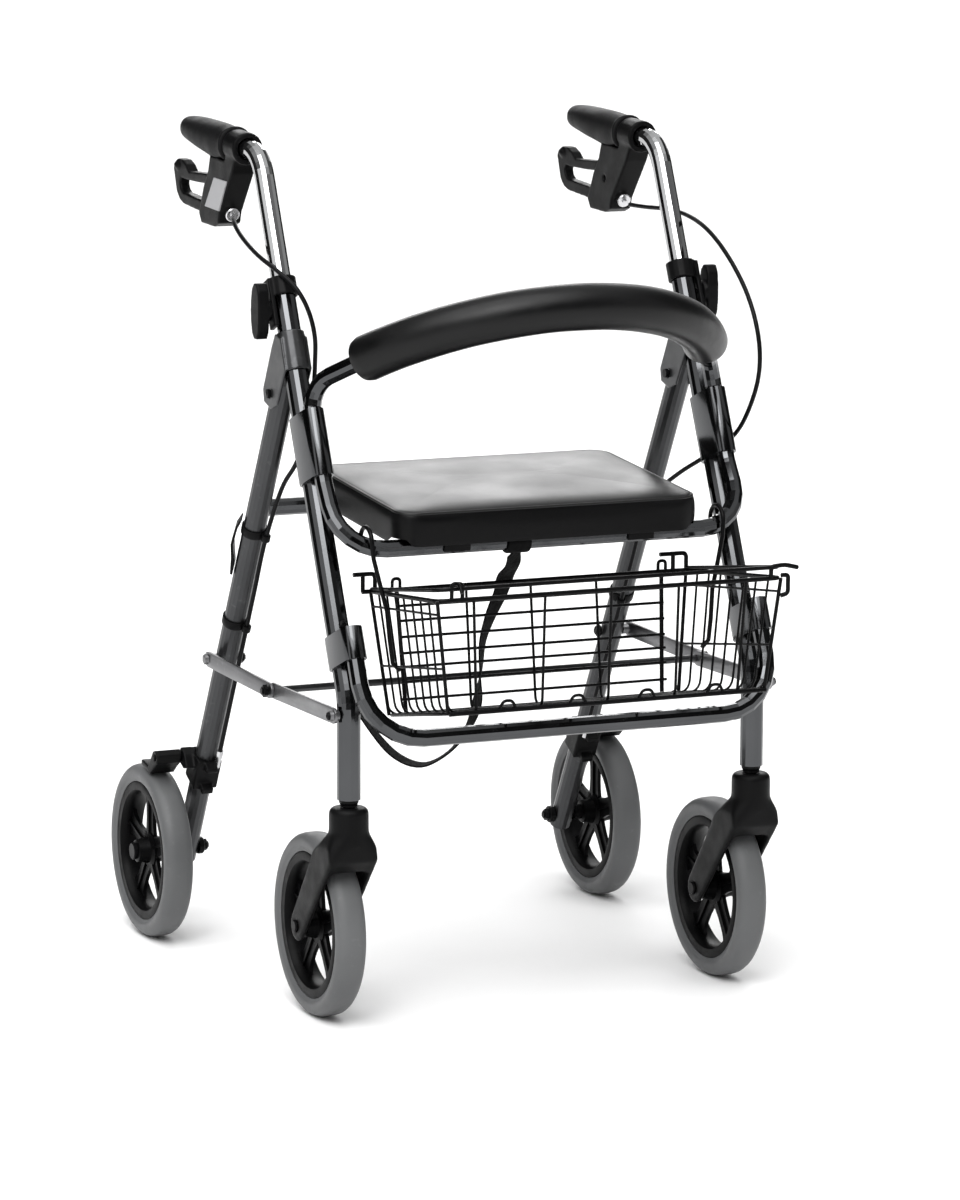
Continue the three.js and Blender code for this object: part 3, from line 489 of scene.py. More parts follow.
def moulded(node, material, voxel, passes):
    """A moulded piece: the CAD shape with every edge worn round, as from a mould."""
    piece = replica(node, material)
    modifier = piece.modifiers.new("even", "REMESH")
    modifier.mode = "VOXEL"
    modifier.voxel_size = voxel / 1000
    modifier = piece.modifiers.new("round", "SMOOTH")
    modifier.factor = 0.5
    modifier.iterations = passes
    applied(piece)
    piece.data.polygons.foreach_set("use_smooth", [True] * len(piece.data.polygons))
    return piece


def edged(node, material, width=0.8, segments=2, angle=30):
    """A made piece: the CAD shape with its sharp edges broken."""
    piece = replica(node, material)
    weld(piece)
    bevelled(piece, width, segments, angle)
    return smooth_shade(piece, 40)


def weld(piece):
    """Shared corners merged and flat areas joined into one face each."""
    bm = bmesh.new()
    bm.from_mesh(piece.data)
    bmesh.ops.remove_doubles(bm, verts=bm.verts, dist=1e-6)
    bmesh.ops.dissolve_limit(bm, angle_limit=math.radians(1), verts=bm.verts, edges=bm.edges)
    bm.to_mesh(piece.data)
    bm.free()


def spline(points, per_span=6, closed=False):
    """A smooth line through points."""
    count = len(points)
    made = []
    spans = count if closed else count - 1
    for i in range(spans):
        if closed:
            p = [points[(i + k - 1) % count] for k in range(4)]
        else:
            p = [points[max(0, i - 1)], points[i], points[i + 1], points[min(count - 1, i + 2)]]
        for k in range(per_span):
            t = k / per_span
            made.append(0.5 * (
                2 * p[1] + (p[2] - p[0]) * t
                + (2 * p[0] - 5 * p[1] + 4 * p[2] - p[3]) * t * t
                + (3 * p[1] - p[0] - 3 * p[2] + p[3]) * t ** 3))
    if not closed:
        made.append(points[-1])
    return made


def rounded(points, radius, steps=5):
    """A line of corners with each one turned into a small arc."""
    made = [points[0]]
    for before, corner, after in zip(points, points[1:], points[2:]):
        back, on = before - corner, after - corner
        reach = min(radius, back.length * 0.45, on.length * 0.45)
        a, b = corner + back.normalized() * reach, corner + on.normalized() * reach
        for k in range(steps + 1):
            t = k / steps
            made.append(a * (1 - t) ** 2 + corner * 2 * t * (1 - t) + b * t * t)
    made.append(points[-1])
    return made


# ---- Frame geometry repeated from the frame's own layout ---------------------------------
LEG_X, STEM_Y = 238, -201
AXLE_Z, FRONT_AXLE_Y, REAR_AXLE_Y = 100, -117, 297
REAR_WHEEL_X = 281
BRACE_FRONT_Z, BRACE_REAR_Z = 346, 344
BEND_Z = 361
LEAN = math.radians(24.5)
BEHIND_FRONT = Vector((0, math.cos(LEAN), -math.sin(LEAN)))
FOLD_Y, FOLD_Z = -12, 665
SPREAD = math.atan2(REAR_AXLE_Y - FOLD_Y, FOLD_Z - AXLE_Z)
UP_REAR = Vector((0, -math.sin(SPREAD), math.cos(SPREAD)))
BEHIND_REAR = Vector((0, math.cos(SPREAD), math.sin(SPREAD)))
X, Y, Z = Vector((1, 0, 0)), Vector((0, 1, 0)), Vector((0, 0, 1))


def front_leg(z, x=LEG_X):
    return place(x, STEM_Y + (z - BEND_Z) * math.tan(LEAN), z)


def rear_leg(z, x=LEG_X):
    return place(x, REAR_AXLE_Y - (z - AXLE_Z) * math.tan(SPREAD), z)


# ---- CAD pieces that keep their own shape ------------------------------------------------
KEPT = {
    "front_leg": GLOSS, "rear_leg": SATIN, "hinge_pin": BLACK_STEEL, "handle_tube": CHROME,
    "front_axle": BLACK_STEEL, "rear_axle": BLACK_STEEL, "caster_stem": BLACK_STEEL,
}
for name, material in KEPT.items():
    for side, sign in SIDES:
        nodes[f"{name}_{side}"].data.materials.clear()
        nodes[f"{name}_{side}"].data.materials.append(material)
        smooth_shade(nodes[f"{name}_{side}"], 32)
SINGLE = {"seat_front_bar": GLOSS, "basket_support_bar": GLOSS, "rear_seat_bar": GLOSS,
          "backrest_tube": GLOSS, "cross_rod": SATIN}
for name, material in SINGLE.items():
    nodes[name].data.materials.clear()
    nodes[name].data.materials.append(material)
    smooth_shade(nodes[name], 36)

# ---- Metal and moulded pieces with worked edges --------------------------------------------
edged("seat_board", PLASTIC, 0.8)
for side, sign in SIDES:
    edged(f"upper_socket_{side}", GLOSS, 1.2, 3)
    edged(f"lower_socket_{side}", GLOSS, 1.2, 3)
    edged(f"brace_front_{side}", PLATED, 0.5)
    edged(f"brace_rear_{side}", PLATED, 0.5)
    moulded(f"hinge_bracket_{side}", SATIN, 1.0, 3)
    moulded(f"clamp_collar_{side}", PLASTIC, 1.0, 4)
    moulded(f"knob_{side}", PLASTIC, 1.1, 8)
    moulded(f"brake_housing_{side}", PLASTIC, 1.3, 8)
    moulded(f"brake_lever_{side}", PLASTIC, 1.1, 8)
    moulded(f"brake_bracket_{side}", PLASTIC, 1.2, 5)
    moulded(f"brake_shoe_{side}", PLASTIC, 1.2, 5)
    moulded(f"caster_fork_{side}", PLASTIC, 1.7, 20)

# ---- Wheels ----------------------------------------------------------------------------------
TYRE_PROFILE = [
    (80.0, -13.6), (81.6, -14.6), (83.6, -15.2), (84.4, -15.9), (86.0, -16.6), (90.0, -17.0),
    (94.0, -16.0), (97.0, -13.4), (99.0, -10.0), (99.8, -6.0), (100.0, -2.0),
]
SPOKES = 5
WEB_HALF, RIB_HALF = 0.0022, 0.0046


def wheel(side, end, centre, body):
    profile = TYRE_PROFILE + [(r, -h) for r, h in reversed(TYRE_PROFILE)]
    bm = bmesh.new()
    add_turned(bm, in_metres(profile + profile[:1]), centre, X, 120)
    tyre = from_bmesh(f"{end}_tyre_{side}_tread", bm, body, TYRE, 50)
    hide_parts(f"{end}_tyre_{side}")
    bm = bmesh.new()
    rim = [(69, -12.5), (70, -13.6), (78.2, -14.0), (79.6, -13.2), (79.6, 13.2), (78.2, 14.0),
           (70, 13.6), (69, 12.5), (66.5, 5), (66.5, -5), (69, -12.5)]
    add_turned(bm, in_metres(rim), centre, X, 96)
    boss = [(0, -19.5), (11, -19.5), (13, -18.5), (14, -12), (15.5, -6), (21, -3.4), (21, 3.4),
            (15.5, 6), (14, 12), (13, 18.5), (11, 19.5), (0, 19.5)]
    add_turned(bm, in_metres(boss), centre, X, 48)
    for i in range(SPOKES):
        turn = math.radians(-90 + 180 / SPOKES + 360 / SPOKES * i)
        out = Vector((0, math.cos(turn), math.sin(turn)))
        across = X.cross(out)
        web = [(14, -10), (20, -12.6), (26, -11.4), (36, -10.4), (52, -10.8), (59, -12.4),
               (63.5, -16), (66.4, -22), (68, -30), (69, -30), (69, 30), (68, 30), (66.4, 22),
               (63.5, 16), (59, 12.4), (52, 10.8), (36, 10.4), (26, 11.4), (20, 12.6), (14, 10)]
        add_plate(bm, in_metres(web), -WEB_HALF, WEB_HALF, centre, out, across)
        rib = [(14, -1.6), (67, -1.6), (67, 1.6), (14, 1.6)]
        add_plate(bm, in_metres(rib), -RIB_HALF, RIB_HALF, centre, out, across)
    hub = from_bmesh(f"{end}_hub_{side}_spokes", bm, body, HUB_PLASTIC, 35)
    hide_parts(f"{end}_hub_{side}")


for side, sign in SIDES:
    wheel(side, "front", place(sign * LEG_X, FRONT_AXLE_Y, AXLE_Z), f"front_wheel_{side}")
    wheel(side, "rear", place(sign * REAR_WHEEL_X, REAR_AXLE_Y, AXLE_Z), f"rear_wheel_{side}")

# ---- Grips -----------------------------------------------------------------------------------
# Along the grip's axis: how far, half height, half width, lift of its middle.
GRIP = [
    (129.5, 14.0, 14.0, 0), (129.8, 18.5, 18.5, 0), (131.5, 20.0, 20.0, 0),
    (134.5, 20.0, 20.0, 0), (136.5, 18.0, 17.8, 0), (144, 18.8, 17.8, -0.6),
    (158, 20.8, 18.8, -1.6), (176, 20.6, 19.2, -1.4), (198, 19.0, 19.4, -0.4),
    (220, 17.4, 19.2, 0.6), (240, 16.0, 18.2, 1.2), (256, 14.6, 16.6, 1.4),
    (266, 13.4, 14.6, 1.5), (271.2, 12.4, 13.0, 1.5), (275.5, 9.0, 10.0, 1.7),
    (278, 4.5, 5.0, 1.8), (278.9, 0.4, 0.4, 1.8),
]
HANDLE_RISE = math.radians(3)
GRIP_RUN = Vector((0, math.cos(HANDLE_RISE), math.sin(HANDLE_RISE)))
GRIP_UP = Vector((0, -math.sin(HANDLE_RISE), math.cos(HANDLE_RISE)))
GRIP_SIDES, GRIP_SQUARENESS = 40, 0.92
FINGERS_FROM, FINGERS_TO, FINGER_DEPTH = 150, 262, 0.03


def grip_axis(sign, along):
    """A place on the grip's axis, along it from the plane of the frame's datum."""
    return place(sign * LEG_X, 0.07, 915.23) + GRIP_RUN * along / 1000


for side, sign in SIDES:
    bm = bmesh.new()
    rings = []
    for along, tall, wide, lift in GRIP:
        ring = []
        for k in range(GRIP_SIDES):
            angle = 2 * math.pi * k / GRIP_SIDES
            c, s = math.cos(angle), math.sin(angle)
            a = math.copysign(abs(c) ** GRIP_SQUARENESS, c) * wide
            b = math.copysign(abs(s) ** GRIP_SQUARENESS, s) * tall
            if s < 0 and FINGERS_FROM < along < FINGERS_TO:
                share = (along - FINGERS_FROM) / (FINGERS_TO - FINGERS_FROM)
                b *= 1 + FINGER_DEPTH * math.sin(share * 4 * math.pi)
            ring.append(bm.verts.new(grip_axis(sign, along) + (X * a + GRIP_UP * (lift + b))
                                     / 1000))
        rings.append(ring)
    for low, high in zip(rings, rings[1:]):
        for k in range(GRIP_SIDES):
            n = (k + 1) % GRIP_SIDES
            bm.faces.new((low[k], low[n], high[n], high[k]))
    bm.faces.new(rings[0])
    bm.faces.new(rings[-1])
    grip = from_bmesh(f"grip_{side}_rubber", bm, f"handle_{side}", RUBBER, 50)
    grip.modifiers.new("fine", "SUBSURF").levels = 2
    applied(grip)
    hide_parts(f"grip_{side}")

# ---- Seat --------------------------------------------------------------------------------------
TILT = math.radians(4.3)
SEAT_BACK = Vector((0, math.cos(TILT), math.sin(TILT)))
SEAT_UP = Vector((0, -math.sin(TILT), math.cos(TILT)))
SEAT_BAR = place(0, -177, 516)


def on_seat(x, u, w):
    return SEAT_BAR + (X * x + SEAT_BACK * u + SEAT_UP * w) / 1000


SEAT_HALF, SEAT_FRONT, SEAT_REAR, SEAT_CORNER = 178.5, -17.3, 239.5, 26


def seat_outline(inset):
    """The seat's outline, drawn in by an inset; every inset has the same number of points."""
    half, front, rear = SEAT_HALF - inset, SEAT_FRONT + inset, SEAT_REAR - inset
    r = max(SEAT_CORNER - inset, 1)
    centres = [(half - r, rear - r, 0, 30), (-half + r, rear - r, 90, 20),
               (-half + r, front + r, 180, 30), (half - r, front + r, 270, 20)]
    made = []
    for i, (x, u, start, steps) in enumerate(centres):
        for k in range(9):
            turn = math.radians(start + 90 * k / 8)
            made.append((x + r * math.cos(turn), u + r * math.sin(turn)))
        nx, nu, after, _ = centres[(i + 1) % 4]
        turn = math.radians(after)
        target = (nx + r * math.cos(turn), nu + r * math.sin(turn))
        last = made[-1]
        for k in range(1, steps):
            t = k / steps
            made.append((last[0] + (target[0] - last[0]) * t,
                         last[1] + (target[1] - last[1]) * t))
    return made


SKIRT_LOW, SKIRT_BY_BAR, SKIRT_ROOF = 3.2, 11.0, 15.0
CLOTH_FRAMES, CLOTH_QUALITY = 12, 5
# Heights on the seat: above the first the top is smoothed; below the second the faces take the
# darker side vinyl, painted shade.
TOP_FROM, PAINTED_SHADE_BELOW = 41.5, 37.5
WELT_HEIGHT, WELT_R, WELT_SINK = 38.5, 1.7, 0.5
SEAT_MIDDLE = 108


def seat_height(spot):
    """How far above the seat bar a place on the seat is, in millimetres."""
    return (spot - SEAT_BAR).dot(SEAT_UP) * 1000


def seat_cushion():
    """A cushion with a thin skirt that hangs round the board, notched where the bar passes."""
    layers = [(3.6, SKIRT_ROOF), (3.4, SKIRT_LOW + 0.8), (2.6, SKIRT_LOW), (1.4, SKIRT_LOW),
              (0.6, SKIRT_LOW + 1), (0.4, 10), (0.2, 17), (0.2, 24), (0.4, 31), (1.2, 36.5),
              (3.2, 40.4), (6.5, 42.8), (11, 43.9), (18, 44.5), (28, 44.8), (40, 45), (54, 45),
              (70, 45), (86, 45), (102, 45), (114, 45), (122, 45), (126, 45)]
    bm = bmesh.new()
    rings = []
    for inset, w in layers:
        ring = []
        for x, u in seat_outline(inset):
            beside_bar = abs(x) > 150 and -13.2 < u < 12
            lift = max(w, SKIRT_BY_BAR) if beside_bar and w < SKIRT_BY_BAR else w
            ring.append(bm.verts.new(on_seat(x, u, lift)))
        rings.append(ring)
    for low, high in zip(rings, rings[1:]):
        count = len(low)
        for k in range(count):
            n = (k + 1) % count
            bm.faces.new((low[k], low[n], high[n], high[k]))
    bm.faces.new(list(reversed(rings[0])))
    bm.faces.new(rings[-1])
    return from_bmesh("seat_cushion", bm, None, VINYL, 60)


def inflate(piece, pressure, cap, held_below):
    """Blown up a little as cloth, with everything below a height on the seat held."""
    rest = [v.co.copy() for v in piece.data.vertices]
    group = piece.vertex_groups.new(name="held")
    held = [i for i, p in enumerate(rest) if seat_height(p) < held_below]
    group.add(held, 1.0, "ADD")
    cloth = piece.modifiers.new("cloth", "CLOTH")
    cloth.settings.use_pressure = True
    cloth.settings.uniform_pressure_force = pressure
    cloth.settings.effector_weights.gravity = 0
    cloth.settings.vertex_group_mass = "held"
    cloth.settings.quality = CLOTH_QUALITY
    for step in range(1, CLOTH_FRAMES + 1):
        scene.frame_set(step)
    graph = bpy.context.evaluated_depsgraph_get()
    blown = [v.co.copy() for v in piece.evaluated_get(graph).data.vertices]
    piece.modifiers.clear()
    piece.vertex_groups.clear()
    for vertex, start, end in zip(piece.data.vertices, rest, blown):
        move = end - start
        if move.length > cap / 1000:
            move = move.normalized() * cap / 1000
        vertex.co = start + move
    scene.frame_set(1)


cushion = seat_cushion()
inflate(cushion, pressure=3, cap=1.4, held_below=26)
top = cushion.vertex_groups.new(name="top")
top.add([v.index for v in cushion.data.vertices if seat_height(v.co) > TOP_FROM], 1.0, "ADD")
settle = cushion.modifiers.new("settle", "SMOOTH")
settle.vertex_group = "top"
settle.iterations = 40
cushion.modifiers.new("fine", "SUBSURF").levels = 1
applied(cushion)
# The side panels take a darker, duller copy of the top's vinyl: painted shade, so the sides read as
# shaded under the top.
cushion.data.materials.append(PAINTED_SHADE_SIDE_VINYL)
for face in cushion.data.polygons:
    if seat_height(face.center) < PAINTED_SHADE_BELOW:
        face.material_index = 1
cushion.data.polygons.foreach_set("use_smooth", [True] * len(cushion.data.polygons))
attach(cushion, "seat")
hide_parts("seat_pad")

# A welt runs round the cushion where its top meets its side.
tree = BVHTree.FromPolygons([v.co for v in cushion.data.vertices],
                            [p.vertices for p in cushion.data.polygons])
bm = bmesh.new()
line = []
for x, u in seat_outline(0):
    outward = Vector((x, u - SEAT_MIDDLE, 0)).normalized()
    start = on_seat(x + outward.x * 30, u + outward.y * 30, WELT_HEIGHT)
    way = -(X * outward.x + SEAT_BACK * outward.y)
    hit = tree.ray_cast(start, way)
    spot = hit[0] if hit[0] else on_seat(x, u, WELT_HEIGHT)
    line.append(spot + way * WELT_SINK / 1000)
add_tube(bm, line, WELT_R / 1000, 8, closed=True)
from_bmesh("seat_welt", bm, "seat", VINYL, 60)

# ---- Backrest foam ---------------------------------------------------------------------------
HOOP_R, HOOP_Y = 233, -32
FOAM_R, FOAM_RIPPLE, FOAM_HALF_ARC, FOAM_STEPS = 25, 0.2, 59.5, 90
FOAM_EDGE = 3


def hoop(degrees):
    """A place on the backrest tube, by its turn from the front in degrees."""
    y = HOOP_Y - HOOP_R * math.cos(math.radians(degrees))
    return place(HOOP_R * math.sin(math.radians(degrees)), y, 775.5 - 0.525 * (y + 265))


bm = bmesh.new()
spots = [-FOAM_HALF_ARC + 2 * FOAM_HALF_ARC * i / FOAM_STEPS for i in range(FOAM_STEPS + 1)]
path = [hoop(a) for a in spots]
radii = []
for a in spots:
    edge = (FOAM_HALF_ARC - abs(a)) * math.radians(1) * HOOP_R * 1.1
    r = FOAM_R - FOAM_RIPPLE * math.sin(math.radians(a) * 9) ** 2
    if edge < FOAM_EDGE:
        r -= (FOAM_EDGE - edge) ** 2 / 5
    radii.append(r / 1000)
add_tube(bm, path, radii, 48)
foam = from_bmesh("backrest_foam", bm, "front_frame", FOAM, 50)
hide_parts("backrest_pad")

# ---- Basket ------------------------------------------------------------------------------------
RIM_REAR, RIM_FRONT = (187, -137, 464), (198, -345, 487)
BASE_REAR, BASE_FRONT = (172, -153, 331), (183, -339, 367)


def between(a, b, t):
    return tuple(p + (q - p) * t for p, q in zip(a, b))


def corner(front, level):
    """Half width, y and z of a basket corner at a level from 0, base, to 1, rim."""
    return between(BASE_FRONT, RIM_FRONT, level) if front else between(BASE_REAR, RIM_REAR, level)


def wall_point(level, share):
    """A place on the left side wall, share going from the rear to the front."""
    return between(corner(False, level), corner(True, level), share)


def ring_at(level, radius=12):
    rear, front = corner(False, level), corner(True, level)
    loop = [(-rear[0], *rear[1:]), (-front[0], *front[1:]), (front[0], *front[1:]), rear]
    corners = place_all(loop)
    closed = corners[-1:] + corners + corners[:1]
    line = rounded(closed, radius / 1000, 4)
    return line[1:-1]


THICK, THIN = 2.5, 1.35


def wire(bm, points, radius=THIN, corner_radius=6, sign=1):
    line = place_all([(sign * x, y, z) for x, y, z in points])
    add_tube(bm, rounded(line, corner_radius / 1000), radius / 1000, 8)


# Light wires: eight bays along each side, run across the floor as one piece with both walls.
bm = bmesh.new()
BAYS = 8
for i in range(BAYS + 1):
    (top, ty, tz), (foot, fy, fz) = wall_point(1, i / BAYS), wall_point(0, i / BAYS)
    line = [(-top, ty, tz), (-foot, fy, fz), (foot, fy, fz), (top, ty, tz)]
    wire(bm, line, THIN, 14)
for x in (-76, 0, 78):
    stops = (corner(False, 1), corner(False, 0), corner(True, 0), corner(True, 1))
    wire(bm, [(x, y, z) for _, y, z in stops], 1.6, 10)
for level in (0.87, 0.75, 0.62, 0.49, 0.38, 0.26, 0.12):
    _, y, z = corner(False, level)
    wire(bm, [(-157, y - 2, z), (157, y - 2, z)], 1.6)
for sign in (-1, 1):
    for level in (0.88, 0.40):
        wire(bm, [wall_point(level, 0), wall_point(level, 1)], THIN, sign=sign)
    front_post = [(157, *corner(True, 1)[1:]), (151, *corner(True, 0)[1:])]
    wire(bm, front_post, 1.7, sign=sign)
basket_wires = from_bmesh("basket_wires", bm, "basket", WIRE, 60)
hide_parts("basket")

# Heavy wires: rims, foot, posts, hangers and hooks.
bm = bmesh.new()
add_tube(bm, ring_at(1), THICK / 1000, 12, closed=True)
add_tube(bm, ring_at(0), 1.9 / 1000, 10, closed=True)
wire(bm, [(-187, -140, 467), (-198.5, -346, 499), (198.5, -346, 499), (187, -140, 467)], 2.2, 16)
foot = corner(True, 0)
wire(bm, [(-foot[0], foot[1] - 3.5, foot[2]), (foot[0], foot[1] - 3.5, foot[2])], THICK)
for x in (-117, -37, 43, 123):
    edge, rise = (foot[1] - 3.5, foot[2]), foot[2] + 10
    bump = [(x - 10, *edge), (x - 5, foot[1] - 4, rise), (x + 5, foot[1] - 4, rise),
            (x + 10, *edge)]
    wire(bm, bump, 1.7, 4)
for sign in (-1, 1):
    # The hanger hooks over the seat bar and runs down the side of the basket.
    over = []
    for i in range(15):
        angle = math.radians(-40 + 220 * i / 14)
        over.append((206.5, -172.4 + 16.3 * math.cos(angle), 523.5 + 16.3 * math.sin(angle)))
    down = [(205, -189.5, 508), (198, -192, 478), (191.5, -194, 452), (189, -196, 420),
            (186, -197, 396), (178, -197, 388)]
    line = place_all([(sign * x, y, z) for x, y, z in over + down])
    add_tube(bm, line, THICK / 1000, 10)
    # Rear posts end in a small eye above the rim; a hook stands at each rear corner.
    _, y, z = corner(False, 1)
    wire(bm, [(152, y - 15, 333), (157, y, z)], THICK, sign=sign)
    wire(bm, [(153, y, z), (153, y, z + 12), (162, y, z + 12), (162, y, z)], 1.9, 4, sign=sign)
    for front in (True, False):
        wire(bm, [corner(front, 1), corner(front, 0)], 2.1, sign=sign)
_, y, z = corner(False, 1)
for outer, inner, tip in ((187, 171, 155), (-182, -196, -207)):
    wire(bm, [(outer, y, z), (outer, y, z + 19), (tip, y, z + 19)], THICK, 5)
    wire(bm, [(inner, y, z), (inner, y, z + 19)], THICK)
wire(bm, [(-187, y, z), (-197, y, z)], THICK)
wire(bm, [(-170, -345, 487), (-170, -346, 504), (-182, -346, 505), (-182, -345, 487)], 2.2, 4)
wire(bm, [(-176, -346, 505), (-176, -354, 503), (-176, -358, 496)], 2.0, 4)
wire(bm, [(186, -345, 487), (186, -346, 500), (202, -346, 501), (218, -344, 497)], THICK, 4)
wire(bm, [(198, -345, 468), (206, -346, 470), (206, -346, 490), (198, -346, 490)], THICK, 4)
from_bmesh("basket_rim", bm, "basket", WIRE, 60)

# ---- Fold strap --------------------------------------------------------------------------------
# Places along the strap, each with its width's turn from the seat bar's direction, in degrees.
STRAP = [
    (-35, -172, 504, 40), (-31, -158, 488, 35), (-26, -130, 470, 20), (-27, -119, 450, 25),
    (-38, -117, 425, 36), (-47, -116, 396, 50), (-49, -116, 362, 63), (-52, -114, 330, 88),
    (-62, -110, 300, 76), (-82, -104, 274, 60), (-110, -96, 261, 54), (-136, -80, 272, 54),
    (-156, -54, 302, 60), (-166, -36, 326, 64),
]
STRAP_HALF, STRAP_THICK = 12.5, 1.8


def ribbon(name, line, turns, half, thick, body, material):
    """A flat band with rounded selvedges along a line, its width turned about Z at each point."""
    bm = bmesh.new()
    uv = bm.loops.layers.uv.new("UVMap")
    section = [(-half, -0.3), (-half + 0.6, -thick / 2), (half - 0.6, -thick / 2), (half, -0.3),
               (half, 0.3), (half - 0.6, thick / 2), (-half + 0.6, thick / 2), (-half, 0.3)]
    rings, run, length = [], [], 0.0
    for i, p in enumerate(line):
        before, after = line[max(0, i - 1)], line[min(len(line) - 1, i + 1)]
        tangent = (after - before).normalized()
        across = Vector((math.cos(turns[i]), math.sin(turns[i]), 0))
        out = tangent.cross(across).normalized()
        across = out.cross(tangent).normalized()
        if i:
            length += (p - line[i - 1]).length
        run.append(length)
        rings.append([bm.verts.new(p + (across * a + out * b) / 1000) for a, b in section])
    sides = len(section)
    for i, (low, high) in enumerate(zip(rings, rings[1:])):
        for k in range(sides):
            n = (k + 1) % sides
            face = bm.faces.new((low[k], low[n], high[n], high[k]))
            for loop, (s, j) in zip(face.loops, ((k, i), (n, i), (n, i + 1), (k, i + 1))):
                loop[uv].uv = (section[s][0] / 1000, run[j])
    bm.faces.new(list(reversed(rings[0])))
    bm.faces.new(rings[-1])
    bmesh.ops.recalc_face_normals(bm, faces=bm.faces)
    mesh = bpy.data.meshes.new(name)
    bm.to_mesh(mesh)
    bm.free()
    return smooth_shade(new_piece(name, mesh, body, material), 40), length


strap_line = spline(place_all([spot[:3] for spot in STRAP]), 6)
strap_turns = [math.radians(v.x) for v in spline([Vector((t, 0, 0)) for *_, t in STRAP], 6)]
strap, strap_length = ribbon("fold_strap_webbing", strap_line, strap_turns, STRAP_HALF,
                             STRAP_THICK, None, WEBBING)
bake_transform(strap)
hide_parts("fold_strap")

# The strap's upper end is sewn into a loop round the seat bar.
bm = bmesh.new()
loop = [(9.9, -13), (12.6, -13), (13.2, -11), (13.2, 11), (12.6, 13), (9.9, 13), (9.9, -13)]
add_turned(bm, in_metres(loop), place(-35, -177, 516), X, 40)
from_bmesh("strap_loop", bm, "front_frame", WEBBING, 40)

# ---- Brake cables ------------------------------------------------------------------------------


def beside_rear_leg(z, sign):
    """A place on the cable where it runs down in front of a rear leg."""
    return rear_leg(z, sign * CABLE_X) - BEHIND_REAR * CABLE_AHEAD


CABLE_R = 2.5
CABLE_X, CABLE_AHEAD = 230, 0.017
CABLE_END_Z, CLIP_HEIGHTS = 232, (503, 392)
CABLES = {
    "left": [
        (241, 131, 840), (246, 100, 840), (253, 58, 841), (256, 12, 838), (257, -36, 827),
        (258, -82, 805), (260, -122, 774), (261, -148, 742), (262, -160, 708),
        (262, -158, 676), (260, -144, 644), (259, -118, 614), (257, -84, 592),
        (250, -46, 572), (240, -6, 550), (233, 34, 524),
    ],
    "right": [
        (240, 131, 840), (250, 100, 836), (256, 66, 828), (257, 34, 818), (255, 6, 809),
        (246, -21, 797), (233, -38, 781), (223, -48, 758), (217, -52, 730), (216, -50, 700),
        (216, -46, 672), (216, -40, 645), (218, -28, 614), (222, -6, 584), (227, 22, 554),
    ],
}


for side, sign in SIDES:
    upper = place_all([(sign * x, y, z) for x, y, z in CABLES[side]])
    lower = [beside_rear_leg(z, sign) for z in (500, 440, 380, 320, 262, CABLE_END_Z)]
    line = spline(upper + lower, 6)
    split = 6 * (len(upper) - 4)
    parts = (("upper", line[: split + 1]), ("lower", line[split:]))
    for part, points in parts:
        bm = bmesh.new()
        add_tube(bm, points, CABLE_R / 1000, 12)
        cable = from_bmesh(f"brake_cable_{side}_{part}", bm, None, CABLE, 60)
        if part == "upper":
            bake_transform(cable)
            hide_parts(f"brake_cable_{side}")
        else:
            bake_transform(cable)

# ---- Fixings -----------------------------------------------------------------------------------


def fixings(name, body, material, parts):
    """Turned heads and washers: (place, axis, profile of (radius, height) in mm, sides)."""
    bm = bmesh.new()
    for centre, axis, profile, sides in parts:
        add_turned(bm, in_metres(profile), centre, axis, sides)
    return from_bmesh(name, bm, body, material, 30)


NUT = [(0, 0), (6.6, 0), (7, 0.4), (7, 4.4), (6.2, 5), (4.2, 5), (4.2, 6.6), (3.6, 7), (0, 7)]
PAN = [(0, 0), (4.6, 0), (4.6, 1), (3.8, 2.4), (2.2, 3), (1.6, 3), (1.6, 1.6), (0, 1.6)]
WASHER = [(0, 0), (9, 0), (9.4, 0.4), (9.4, 1), (9, 1.4), (0, 1.4)]
SLOTTED = [(0, 0), (7.4, 0), (8, 0.8), (8, 3.4), (7, 4.4), (2.6, 4.4), (2.6, 6.5), (0, 6.5)]
CLIP_BAND = [(12.9, -5), (14.1, -5), (14.4, -4.4), (14.4, 4.4), (14.1, 5), (12.9, 5), (12.9, -5)]
CLIP_EYE = [(2.6, -4), (4.6, -4), (5, -3.4), (5, 3.4), (4.6, 4), (2.6, 4), (2.6, -4)]
FERRULE = [(0, -6), (3.6, -6), (4, -5.4), (4, 4), (3.2, 6), (3.2, 18), (0, 18)]
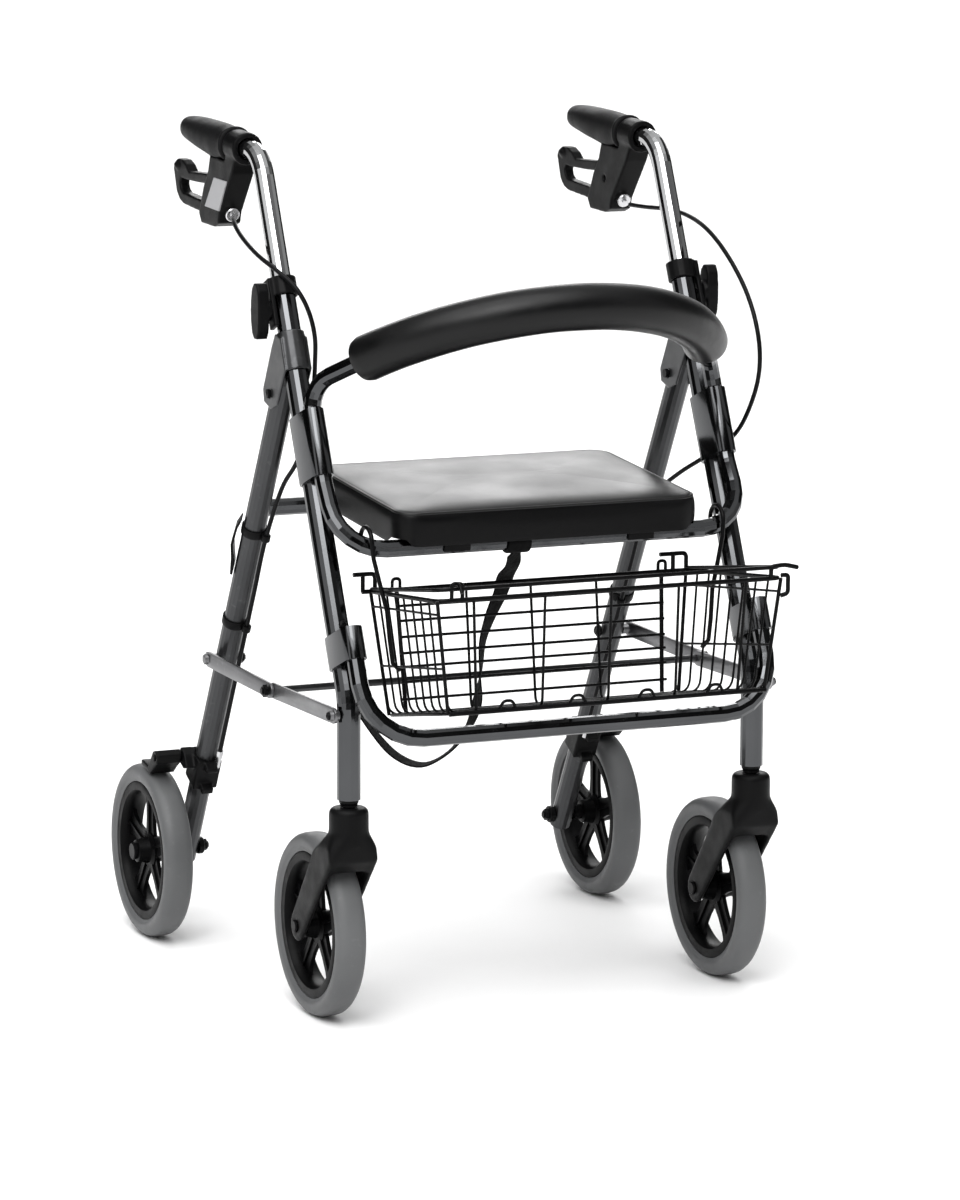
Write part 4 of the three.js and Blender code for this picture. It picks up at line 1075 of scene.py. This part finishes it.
for side, sign in SIDES:
    out = X * sign
    fixings(f"frame_fixings_{side}", "front_frame", BLACK_STEEL, [
        (front_leg(432, sign * LEG_X) - BEHIND_FRONT * 0.0165, -BEHIND_FRONT, PAN, 20),
        (place(sign * LEG_X, STEM_Y, 246.5), Z, WASHER, 32),
        (place(sign * LEG_X, STEM_Y, 247), Z, [(0, 0), (8.4, 0), (8.4, 5.2), (0, 5.2)], 6),
    ])
    fixings(f"rear_fixings_{side}", "rear_frame", BLACK_STEEL, [
        (rear_leg(AXLE_Z, sign * 219), -out, NUT, 6),
        (rear_leg(BRACE_REAR_Z, sign * 223.5), -out, NUT, 6),
        (rear_leg(210, sign * LEG_X) + BEHIND_REAR * 0.0165, BEHIND_REAR, PAN, 20),
    ])
    fixings(f"brace_fixings_{side}", "brace_front", BLACK_STEEL, [
        (place(sign * 263.4, -27, 342), out, NUT, 6),
        (place(sign * 261.4, -204, BRACE_FRONT_Z), out, PAN, 20),
    ])
    # Adjuster where the brake cable leaves the housing.
    aim = Vector((0, -0.93, -0.35)).normalized()
    fixings(f"cable_adjuster_{side}", f"handle_{side}", BRIGHT, [
        (place(sign * LEG_X, 143, 845), aim, SLOTTED, 32),
    ])
    fixings(f"lever_screw_{side}", f"handle_{side}", BLACK_STEEL, [
        (place(251, 166, 868) if sign > 0 else place(-225, 166, 868), X, PAN, 20),
    ])
    # Clips hold the cable against the rear leg.
    for height in CLIP_HEIGHTS:
        bm = bmesh.new()
        add_turned(bm, in_metres(CLIP_BAND), rear_leg(height, sign * LEG_X), UP_REAR, 48)
        add_turned(bm, in_metres(CLIP_EYE), beside_rear_leg(height, sign), UP_REAR, 24)
        from_bmesh(f"cable_clip_{side}_{height}", bm, "rear_frame", PLASTIC, 40)

    # A ferrule takes the cable's lower end into the brake bracket.
    bm = bmesh.new()
    add_turned(bm, in_metres(FERRULE), beside_rear_leg(CABLE_END_Z, sign), -UP_REAR, 24)
    from_bmesh(f"cable_ferrule_{side}", bm, "rear_frame", BRIGHT, 40)

# A blank panel on the right brake housing's outer face.
bm = bmesh.new()
panel = [(159, 884), (120, 882.5), (145, 848), (188, 850)]
add_plate(bm, [((y - MID_LENGTH) / 1000, z / 1000) for y, z in panel], -0.2530, -0.2508,
          Vector((0, 0, 0)), Y, Z)
bevelled(from_bmesh("blank_panel", bm, "handle_right", PANEL, 40), 0.4)

# A sprung storage clip on the outer face of the right rear leg.
bm = bmesh.new()
outline = [(13.2, -34), (16, -34), (18.5, -12), (22, 6), (20.5, 30), (16.5, 42), (15, 41),
           (18, 28), (19, 6), (15.6, -10), (13.2, -20)]
add_plate(bm, in_metres(outline), -0.007, 0.007, rear_leg(478, -LEG_X),
          (BEHIND_REAR * 0.5 - X).normalized(), UP_REAR)
bevelled(from_bmesh("storage_clip", bm, "rear_frame", PLASTIC, 40), 0.5)

# ---- Floor -------------------------------------------------------------------------------------
bm = bmesh.new()
bmesh.ops.create_grid(bm, x_segments=1, y_segments=1, size=60)
mesh = bpy.data.meshes.new("floor")
bm.to_mesh(mesh)
bm.free()
floor = bpy.data.objects.new("floor", mesh)
scene.collection.objects.link(floor)
floor.location = (0, 0, -0.0005)
floor.data.materials.append(finish("floor_paint", (0.93, 0.93, 0.93), 0.8, 0.0, 0.004))
